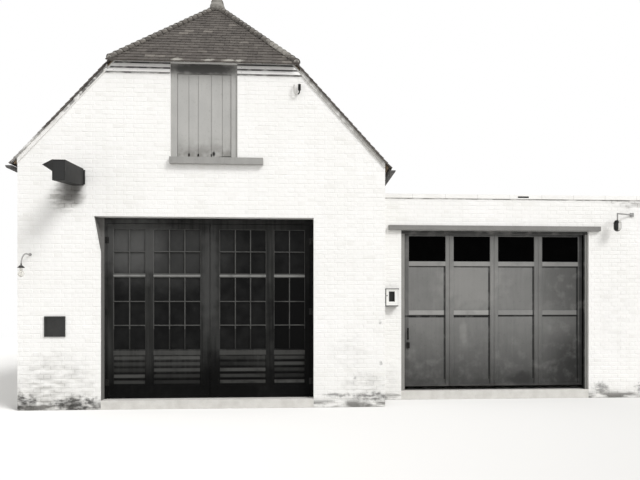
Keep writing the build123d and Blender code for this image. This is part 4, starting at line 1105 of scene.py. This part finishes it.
# %% Bricks of the wing
far_x = wing_high.x + corner
front = (0, wing_low.y, 0)
wing_bricks = join("wing_bricks", [
    brick_face(wing_bond, half_width, door_low.x, 0, door_high.z, front),
    brick_face(wing_bond, door_high.x, far_x, 0, door_high.z, front),
    brick_face(wing_bond, half_width, far_x, door_high.z, coping_low.z, front),
])
wing_end_bricks = brick_face(
    wing_bond, wing_low.y - corner, wing_rear.y + corner, 0, coping_low.z, (wing_high.x, 0, 0), 90,
)
wing_rear_bricks = brick_face(wing_bond, -far_x, -half_width, 0, wing_rear.z, (0, wing_rear.y, 0), 180)
wing_end_bricks.name = "wing_end_bricks"
wing_rear_bricks.name = "wing_rear_bricks"
for piece in (wing_bricks, wing_end_bricks, wing_rear_bricks):
    settle(piece, building, "wing_brick")
print("the wing's door starts", round(door_low.x - half_width, 3), "m from the main block")

# %% [markdown]
# The roof. Plain tiles hang in courses and each lies over the two below, so all that shows of one is its
# tail, a hand's width high. A real tiler starts with a short undercourse at the eave, breaks the joints
# by half a tile, and can't help some tiles sitting proud or askew, which is what makes a roof look old.

# %% Plain tiles
def slope_tree(material):
    """Lay tiles on a slope. Along the eave is X, up the slope is Y and the weather is at +Z."""
    tree, given = new_tree(
        "tiled_slope", Columns=WHOLE, Rows=WHOLE, Start=FLOAT, Width=FLOAT, Length=FLOAT, Thick=FLOAT,
        Gauge=FLOAT, Gap=FLOAT, Camber=FLOAT, Seed=WHOLE, Origin=VECTOR, Facing=VECTOR,
    )
    index = add(tree, "GeometryNodeInputIndex")
    column = add(tree, REMAINDER, (index, given["Columns"]))
    row_share = add(tree, DIVIDED, (index, given["Columns"]))
    row = add(tree, ROUNDED_DOWN, (row_share,))
    odd = add(tree, REMAINDER, (row, 2))
    broken = add(tree, TIMES_PLUS, (odd, 0.5, column))
    pitch = add(tree, PLUS, (given["Width"], given["Gap"]))
    across = add(tree, TIMES_PLUS, (broken, pitch, given["Start"]))
    is_under = add(tree, LESS, (row, 0.5))
    laid_row = add(tree, MINUS, (row, 1))
    from_eave = add(tree, LARGER, (laid_row, 0))
    up = add(tree, TIMES, (from_eave, given["Gauge"]))
    layers = add(tree, PLUS, (is_under, 1))
    sunk = add(tree, TIMES, (layers, given["Thick"]))
    raised = add(tree, TIMES, (sunk, -1))
    spread = {"Min": (-0.0015, -0.006, 0.0), "Max": (0.0015, 0.006, 0.002), "Seed": given["Seed"]}
    slip = add(tree, RANDOM, spread, data_type="FLOAT_VECTOR")
    place = add(tree, "ShaderNodeCombineXYZ", {"X": across, "Y": up, "Z": raised})
    slipped = add(tree, "ShaderNodeVectorMath ADD", (place, slip))
    count = add(tree, TIMES, (given["Columns"], given["Rows"]))
    places = add(tree, "GeometryNodePoints", {"Count": count, "Position": slipped})
    steepness = add(tree, DIVIDED, (given["Thick"], given["Gauge"]))
    lap = add(tree, "ShaderNodeMath ARCTANGENT", (steepness,))
    tipped = add(tree, "ShaderNodeCombineXYZ", {"X": add(tree, TIMES, (lap, -1))})
    sway = {"Min": (-0.006, -0.02, -0.014), "Max": (0.010, 0.02, 0.014), "Seed": given["Seed"]}
    swayed = add(tree, RANDOM, sway, data_type="FLOAT_VECTOR")
    angles = add(tree, "ShaderNodeVectorMath ADD", (tipped, swayed))
    turn = add(tree, "FunctionNodeEulerToRotation", {"Euler": angles})
    size = add(tree, "ShaderNodeCombineXYZ", (given["Width"], given["Length"], given["Thick"]))
    plates = {"Size": size, "Vertices X": 2, "Vertices Y": 4, "Vertices Z": 2}
    plate = add(tree, "GeometryNodeMeshCube", plates).outputs["Mesh"]
    at = add(tree, "GeometryNodeInputPosition")
    along = add(tree, "ShaderNodeSeparateXYZ", {"Vector": at}).outputs["Y"]
    share = add(tree, DIVIDED, (along, given["Length"]))
    squared = add(tree, TIMES, (share, share))
    bowed = add(tree, TIMES_PLUS, (squared, -4, 1))
    camber = add(tree, TIMES, (bowed, given["Camber"]))
    lift = add(tree, "ShaderNodeCombineXYZ", {"Z": camber})
    bowed_tile = add(tree, "GeometryNodeSetPosition", {"Geometry": plate, "Offset": lift})
    half_length = add(tree, TIMES, (given["Length"], 0.5))
    half_thick = add(tree, TIMES, (given["Thick"], 0.5))
    to_tail = add(tree, "ShaderNodeCombineXYZ", {"Y": half_length, "Z": half_thick})
    tile = add(tree, "GeometryNodeTransform", {"Geometry": bowed_tile, "Translation": to_tail})
    cut_short = add(tree, TIMES_PLUS, (is_under, -0.38, 1))
    scale = add(tree, "ShaderNodeCombineXYZ", {"X": 1, "Y": cut_short, "Z": 1})
    sockets = {"Points": places, "Instance": tile, "Rotation": turn, "Scale": scale}
    tiles = add(tree, "GeometryNodeInstanceOnPoints", sockets)
    close_tree(tree, given, tiles, material)
    return tree


tile = {"Width": 0.165, "Length": 0.265, "Thick": 0.012, "Gauge": 0.1115, "Gap": 0.005, "Camber": 0.0015}
tile_tree = slope_tree(clay_tiles)
hip_foot_x = (ridge.z - hip_foot.z) / roof_slope
verge_past = 0.004
roof_low, roof_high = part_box("roof_right")
front_verge = roof_low.y - verge_past
rear_verge = roof_high.y + verge_past


def from_end(way, y):
    """A depth y counted from the front where way is 1, and from the rear where it is -1."""
    return y if way > 0 else depth - y


def tiled(name, foot, slope, facing, along, up, cuts, *stands_for):
    """Tile a slope whose eave's middle is at foot, saw it along its hips and verges and settle it."""
    pitch_m = tile["Width"] + tile["Gap"]
    columns = math.ceil(along / pitch_m) + 2
    rows = math.ceil(up / tile["Gauge"]) + 1
    piece = grow(
        name, tile_tree, Columns=columns, Rows=rows, Start=-(columns / 2) * pitch_m + 0.03,
        Seed=11 + facing % 360, Origin=Vector(foot),
        Facing=Vector((math.atan(slope), 0, math.radians(facing))), **tile,
    )
    settle(saw(piece, cuts), building, "clay_tiles", *stands_for)


slope_length = eave.x * math.hypot(1, roof_slope)
hip_length = (hip_top.y - hip_foot.y) * math.hypot(1, hip_slope)
middle_y = depth / 2
off_ridge = 0.02
for side, name, node_name in ((1, "right_slope_tiles", "roof_right"), (-1, "left_slope_tiles", "roof_left")):
    cuts = [
        (Vector((0, front_verge, 0)), Vector((0, -1, 0))),
        (Vector((0, rear_verge, 0)), Vector((0, 1, 0))),
        (Vector((side * off_ridge, 0, 0)), Vector((-side, 0, 0))),
        (Vector((0, hip_top.y, 0)), Vector((-side * roof_slope, -hip_slope, 0))),
        (Vector((0, depth - hip_top.y, 0)), Vector((-side * roof_slope, hip_slope, 0))),
    ]
    foot, along = (side * eave.x, middle_y, eave.z), rear_verge - front_verge
    tiled(name, foot, roof_slope, 90 * side, along, slope_length, cuts, node_name)
for way, name, node_name in ((1, "front_hip_tiles", "hip_front"), (-1, "rear_hip_tiles", "hip_rear")):
    top = Vector((0, from_end(way, hip_top.y), 0))
    cuts = [(top, Vector((side * roof_slope, way * hip_slope, 0))) for side in (1, -1)]
    foot, along = (0, from_end(way, hip_foot.y), hip_foot.z), 2 * hip_foot_x + 0.2
    tiled(name, foot, hip_slope, 90 - 90 * way, along, hip_length, cuts, node_name)
print("one slope is", round(slope_length, 2), "m long, one half hip", round(hip_length, 2), "m")

# %% [markdown]
# Tiles hang on a deck of boards and battens. It is never seen, but without it daylight would show
# between the tiles from inside, so one thin slab closes each slope just under them.

# %% Roof deck
def slab(name, outline, down, material):
    """A closed slab under a flat outline, given counter-clockwise as seen from outside."""
    work = bmesh.new()
    top = [work.verts.new(point) for point in outline]
    low = [work.verts.new(Vector(point) - down) for point in outline]
    work.faces.new(top)
    work.faces.new(low[::-1])
    for i in range(len(top)):
        j = (i + 1) % len(top)
        work.faces.new((top[i], low[i], low[j], top[j]))
    bmesh.ops.recalc_face_normals(work, faces=work.faces)
    return made_of(name, work, material)


deck_drop = 0.040
deck_thick = 0.016
deck_in = 0.03
deck_start = 0.004
deck_x = hip_slope * (hip_top.y - deck_start) / roof_slope
decks = []


def deck_slab(name, outline, out):
    """One board-thick slab under an outline on the roof, out being the way square off the slope."""
    outline = [Vector(point) - out * deck_drop for point in outline]
    decks.append(slab(name, outline, out * deck_thick, pine_planks))


for side in (-1, 1):
    foot_x, foot_z = side * (eave.x - deck_in), eave.z + deck_in * roof_slope
    top_x, top_z = side * deck_x, ridge.z - roof_slope * deck_x
    deck_slab("side_deck", [
        (foot_x, deck_start, foot_z), (foot_x, depth - deck_start, foot_z),
        (top_x, depth - deck_start, top_z), (0, depth - hip_top.y, ridge.z),
        (0, hip_top.y, ridge.z), (top_x, deck_start, top_z),
    ], Vector((side * roof_slope, 0, 1)) / math.hypot(1, roof_slope))
for way in (1, -1):
    foot_y, top_y = from_end(way, 0.0), from_end(way, hip_top.y)
    foot_z = hip_foot.z + hip_slope * (0 - hip_foot.y)
    foot_x = (ridge.z - foot_z) / roof_slope
    outline = [(-foot_x, foot_y, foot_z), (foot_x, foot_y, foot_z), (0, top_y, ridge.z)]
    deck_slab("hip_deck", outline, Vector((0, -way * hip_slope, 1)) / math.hypot(1, hip_slope))
settle(join("roof_deck", decks), building, "floor_planks")
print(len(decks), "slabs of deck")

# %% [markdown]
# Bonnet tiles close the hips: short arches, each lapped over the one below and bedded in mortar, so that a
# hip reads as a row of teeth. The ridge has longer half-round tiles, butted with a mortar joint. Both are
# one arched tile made once and laid in a row by the same tree.

# %% Arched tiles laid in a row
def arched_tile(name, length, tail_radius, head_radius, half_angle, thick, sides=8):
    """A closed arch of clay from its tail at y = 0 to its head, open underneath, crown towards +Z."""
    work = bmesh.new()
    rings = []
    for y, radius in ((0, tail_radius), (length, head_radius)):
        for depth_in in (0, thick):
            ring = []
            for step in range(sides + 1):
                angle = -half_angle + 2 * half_angle * step / sides
                reach = radius - depth_in
                ring.append(work.verts.new((reach * math.sin(angle), y, reach * math.cos(angle) - radius)))
            rings.append(ring)
    tail_out, tail_in, head_out, head_in = rings
    for step in range(sides):
        for a, b in ((tail_out, head_out), (head_in, tail_in), (head_out, head_in), (tail_in, tail_out)):
            work.faces.new((a[step], a[step + 1], b[step + 1], b[step]))
    for end in (0, sides):
        work.faces.new((tail_out[end], head_out[end], head_in[end], tail_in[end]))
    bmesh.ops.recalc_face_normals(work, faces=work.faces)
    return made_of(name, work)


def row_tree(name, material):
    """Lay an object again and again along +Y with a tip, a little sway and a tone of its own."""
    tree, given = new_tree(
        name, Object=OBJECT, Count=WHOLE, Pitch=FLOAT, Tip=FLOAT, Sway=FLOAT, Seed=WHOLE,
        Origin=VECTOR, Facing=VECTOR,
    )
    index = add(tree, "GeometryNodeInputIndex")
    along = add(tree, TIMES, (index, given["Pitch"]))
    place = add(tree, "ShaderNodeCombineXYZ", {"Y": along})
    places = add(tree, "GeometryNodePoints", {"Count": given["Count"], "Position": place})
    tipped = add(tree, "ShaderNodeCombineXYZ", {"X": given["Tip"]})
    spread = {"Min": (-1, -1, -1), "Max": (1, 1, 1), "Seed": given["Seed"]}
    chance = add(tree, RANDOM, spread, data_type="FLOAT_VECTOR")
    swayed = add(tree, "ShaderNodeVectorMath SCALE", {0: chance, "Scale": given["Sway"]})
    angles = add(tree, "ShaderNodeVectorMath ADD", (tipped, swayed))
    turn = add(tree, "FunctionNodeEulerToRotation", {"Euler": angles})
    source = add(tree, "GeometryNodeObjectInfo", {"Object": given["Object"]}).outputs["Geometry"]
    sockets = {"Points": places, "Instance": source, "Rotation": turn}
    copies = add(tree, "GeometryNodeInstanceOnPoints", sockets)
    close_tree(tree, given, copies, material)
    return tree


bonnet = arched_tile("bonnet_tile", 0.24, 0.082, 0.054, math.radians(80), 0.013)
tail_bed = arched_tile("tail_bed", 0.05, 0.067, 0.062, math.radians(80), 0.055)
ridge_round = arched_tile("ridge_tile", 0.440, 0.120, 0.120, math.radians(75), 0.015, 12)
clay_row = row_tree("laid_row_of_clay", ridge_clay)
mortar_row = row_tree("laid_row_of_mortar", tail_mortar)
bonnet_pitch = 0.140
bonnet_up = 0.045
hips = []
for way in (1, -1):
    for side in (-1, 1):
        foot = Vector((side * hip_foot_x, from_end(way, hip_foot.y), hip_foot.z))
        top = Vector((0, from_end(way, hip_top.y), ridge.z))
        hips.append((foot, top, (top - foot).normalized(), 21 + 2 * side + way))
# Per kind of row: its tree, the piece it repeats, how far it is sunk and where it starts up the hip
kinds = {"bonnets": (clay_row, bonnet, 0.0, 0.10), "tail_beds": (mortar_row, tail_bed, 0.0125, 0.104)}
hip_rows = {name: [] for name in kinds}
for foot, top, run, seed in hips:
    sideways = run.cross(Vector((0, 0, 1))).normalized()
    upright = sideways.cross(run)
    axes = Matrix((sideways, run, upright)).transposed()
    count = math.ceil((top - foot).length / bonnet_pitch) - 1
    for name, (laying, source, sunk, start) in kinds.items():
        hip_rows[name].append(grow(
            name, laying, Object=source, Count=count, Pitch=bonnet_pitch, Tip=-0.135, Sway=0.02, Seed=seed,
            Origin=foot + upright * (bonnet_up - sunk) + run * start, Facing=Vector(axes.to_euler()),
        ))
settle(join("bonnet_tiles", hip_rows["bonnets"]), building, "ridge_clay", "hip_tiles")
settle(join("bonnet_beds", hip_rows["tail_beds"]), building, "ridge_clay")
ridge_low, ridge_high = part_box("ridge_tiles")
ridge_from, ridge_to = ridge_low.y, ridge_high.y
ridge_count = round((ridge_to - ridge_from - 0.02) / 0.450)
ridge_pitch = (ridge_to - ridge_from - 0.02) / ridge_count
ridge_row = grow(
    "ridge_row", clay_row, Object=ridge_round, Count=ridge_count, Pitch=ridge_pitch, Tip=0.0, Sway=0.006,
    Seed=5, Origin=Vector((0, ridge_from + 0.015, ridge_high.z - 0.004)), Facing=Vector((0, 0, 0)),
)
settle(ridge_row, building, "ridge_clay", "ridge_tiles")
for source in (bonnet, tail_bed, ridge_round):
    bpy.data.objects.remove(source)
print(len(hips), "hips of bonnets and", ridge_count, "ridge tiles")

# %% [markdown]
# The mortar that beds them. A fat line of it fills the hollow under the arches, and each end of the
# ridge is closed with a rounded lump. The front one shows against the sky in the photograph.

# %% Bedding mortar
def rounded_bar(name, start, end, radius, material, sides, lumps):
    """A straight bar with domed ends; each lump is how far an end bulges out."""
    run = (end - start).normalized()
    sideways = run.orthogonal().normalized()
    upright = run.cross(sideways)
    stations = [(start - run * lumps[0], 0.0)]
    stations += [(start - run * lumps[0] * out, radius * reach) for out, reach in ((0.85, 0.5), (0.5, 0.86))]
    stations += [(start, radius), (end, radius)]
    stations += [(end + run * lumps[1] * out, radius * reach) for out, reach in ((0.5, 0.86), (0.85, 0.5))]
    stations += [(end + run * lumps[1], 0.0)]
    turns = [2 * math.pi * step / sides for step in range(sides)]
    work = bmesh.new()
    rings = []
    for centre, reach in stations:
        if reach == 0.0:
            rings.append([work.verts.new(centre)])
            continue
        spokes = [(sideways * math.cos(a) + upright * math.sin(a)) * reach for a in turns]
        rings.append([work.verts.new(centre + spoke) for spoke in spokes])
    for near, far in zip(rings, rings[1:]):
        for step in range(sides):
            after = (step + 1) % sides
            turned = ((near, step), (near, after), (far, after), (far, step))
            around = [ring[at % len(ring)] for ring, at in turned]
            work.faces.new(list(dict.fromkeys(around)))
    bmesh.ops.recalc_face_normals(work, faces=work.faces)
    bar = made_of(name, work, material)
    for face in bar.data.polygons:
        face.use_smooth = True
    return bar


drop = Vector((0, 0, -0.030))
bedding = [
    rounded_bar("hip_bed", foot + run * 0.14 + drop, top + drop, 0.060, ridge_mortar, 12, (0.03, 0.03))
    for foot, top, run, seed in hips
]
ridge_axis_z = ridge_high.z - 0.125
bedding.append(rounded_bar(
    "ridge_bed", Vector((0, ridge_from, ridge_axis_z)), Vector((0, ridge_to, ridge_axis_z)),
    0.106, ridge_mortar, 16, (0.03, 0.03),
))
for y in (ridge_from + 0.02, ridge_to - 0.02):
    lump_from, lump_to = Vector((-0.07, y, ridge.z - 0.06)), Vector((0.07, y, ridge.z - 0.06))
    bedding.append(rounded_bar("ridge_lump", lump_from, lump_to, 0.10, ridge_mortar, 12, (0.07, 0.07)))
settle(join("bedding_mortar", bedding), building, "ridge_clay")
print("bedded", len(bedding), "lines")

# %% [markdown]
# Small fixings: nails in the boards, screws in the hinge flaps and the knob of the call box. Each head
# is a low dome, laid in rows as the ridge tiles were. The screws of a leaf's own flaps ride on
# that leaf, so that they swing away from the post when it opens.

# %% Nails, screws and a knob
def head_row(name, kind, count, pitch, start, along):
    """A row of heads on a face that looks to -Y, from start, along a level or an upright line."""
    away = Vector((0, -1, 0))
    axes = Matrix((Vector(along).cross(away), Vector(along), away)).transposed()
    material_row, head = kind
    return grow(
        name, material_row, Object=head, Count=count, Pitch=pitch, Tip=0.0, Sway=0.05,
        Seed=31 + count, Origin=Vector(start), Facing=Vector(axes.to_euler()),
    )


nail_from, nail_to = Vector((0, 0, -0.002)), Vector((0, 0, 0.0004))
nail_head = rounded_bar("nail_head", nail_from, nail_to, 0.0040, bracket_iron, 8, (0.0002, 0.0008))
screw_from, screw_to = Vector((0, 0, -0.001)), Vector((0, 0, 0.0003))
screw_head = rounded_bar("screw_head", screw_from, screw_to, 0.0045, hinge_iron, 10, (0.0002, 0.0012))
nails = (row_tree("laid_row_of_nails", bracket_iron), nail_head)
screws = (row_tree("laid_row_of_screws", hinge_iron), screw_head)
level, upright_line = (1, 0, 0), (0, 0, 1)
nail_rows = []
nail_up = 0.022
board_face = -0.0272
for course, head in enumerate(board_heads):
    for start_x in (boards_low.x + 0.13 + 0.09 * course, loft_high.x + 0.07):
        nail_rows.append(head_row("nails", nails, 2, 0.40, (start_x, board_face, head + nail_up), level))
leaf_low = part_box("loft_door")[0]
for nail_z in (4.46, 4.95, 5.50):
    nail_rows.append(head_row("nails", nails, 10, 0.0905, (leaf_low.x + 0.04, leaf_low.y, nail_z), level))
settle(join("board_nails", nail_rows), building, "lamp_housing")

flap_thick = 0.003
flap_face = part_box("engine_door_left")[0].y - flap_thick
hinge_low, hinge_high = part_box("engine_hinges")
flap_half = 0.0115
screw_pitch = 0.036
hinge_middles = (0.430, 1.640, 2.860)
flaps = {
    "post_screws": (building, (hinge_low.x + flap_half, hinge_high.x - flap_half)),
    "left_leaf_screws": ("engine_leaf_left", (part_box("hinge_straps_left")[1].x - flap_half,)),
    "right_leaf_screws": ("engine_leaf_right", (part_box("hinge_straps_right")[0].x + flap_half,)),
}
for name, (body, places_x) in flaps.items():
    rows = [
        head_row("screws", screws, 3, screw_pitch, (x, flap_face, middle_z - screw_pitch), upright_line)
        for x in places_x for middle_z in hinge_middles
    ]
    settle(join(name, rows), body, "hinge_iron")
knob_at = Vector((call_low.x + 0.052, call_low.y + 0.012, call_low.z + 0.196))
inward = Vector((0, 0.004, 0))
knob = rounded_bar(
    "call_box_knob", knob_at + inward, knob_at - inward, 0.013, bracket_iron, 12, (0.001, 0.006),
)
settle(knob, building, "lamp_housing")
for source in (nail_head, screw_head):
    bpy.data.objects.remove(source)
print("screws on", len(flaps), "sets of flaps")

# %% [markdown]
# The wing's flat roof is covered with mineral felt, rolled out from wall to wall. Each sheet laps over
# the next one down, which from above shows as a line every 90 cm.

# %% Felt sheets
felt_low, felt_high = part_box("wing_roof")
felt_lap = 0.10
sheet_count = 7
sheet_run = (felt_high.y - felt_low.y - 0.01 - felt_lap) / sheet_count
sheet_thick = 0.003
near_x, far_sheet_x = felt_low.x + 0.006, felt_high.x - 0.006
sheet = slab("felt_sheet", [
    Vector((x, y, sheet_thick)) for x, y in (
        (near_x, 0), (far_sheet_x, 0), (far_sheet_x, sheet_run + felt_lap), (near_x, sheet_run + felt_lap),
    )
], Vector((0, 0, sheet_thick)), roofing_felt)
felt = grow(
    "felt_sheets", row_tree("laid_row_of_felt", roofing_felt), Object=sheet, Count=sheet_count,
    Pitch=sheet_run, Tip=0.0035, Sway=0.0, Seed=41,
    Origin=Vector((0, felt_low.y + 0.005, felt_high.z + 0.0003)), Facing=Vector((0, 0, 0)),
)
settle(felt, building, "roofing_felt")
bpy.data.objects.remove(sheet)
print(sheet_count, "sheets,", round(sheet_run, 2), "m showing of each")

# %% [markdown]
# Last, the number of faces laid and the box that the imported model fills are printed. The visual
# pieces must not reach past the imported ones.

# %% Sizes and finish
print("faces laid:", counters["laid"])
print("packed", [round(v, 3) for corner in cad_box for v in corner])
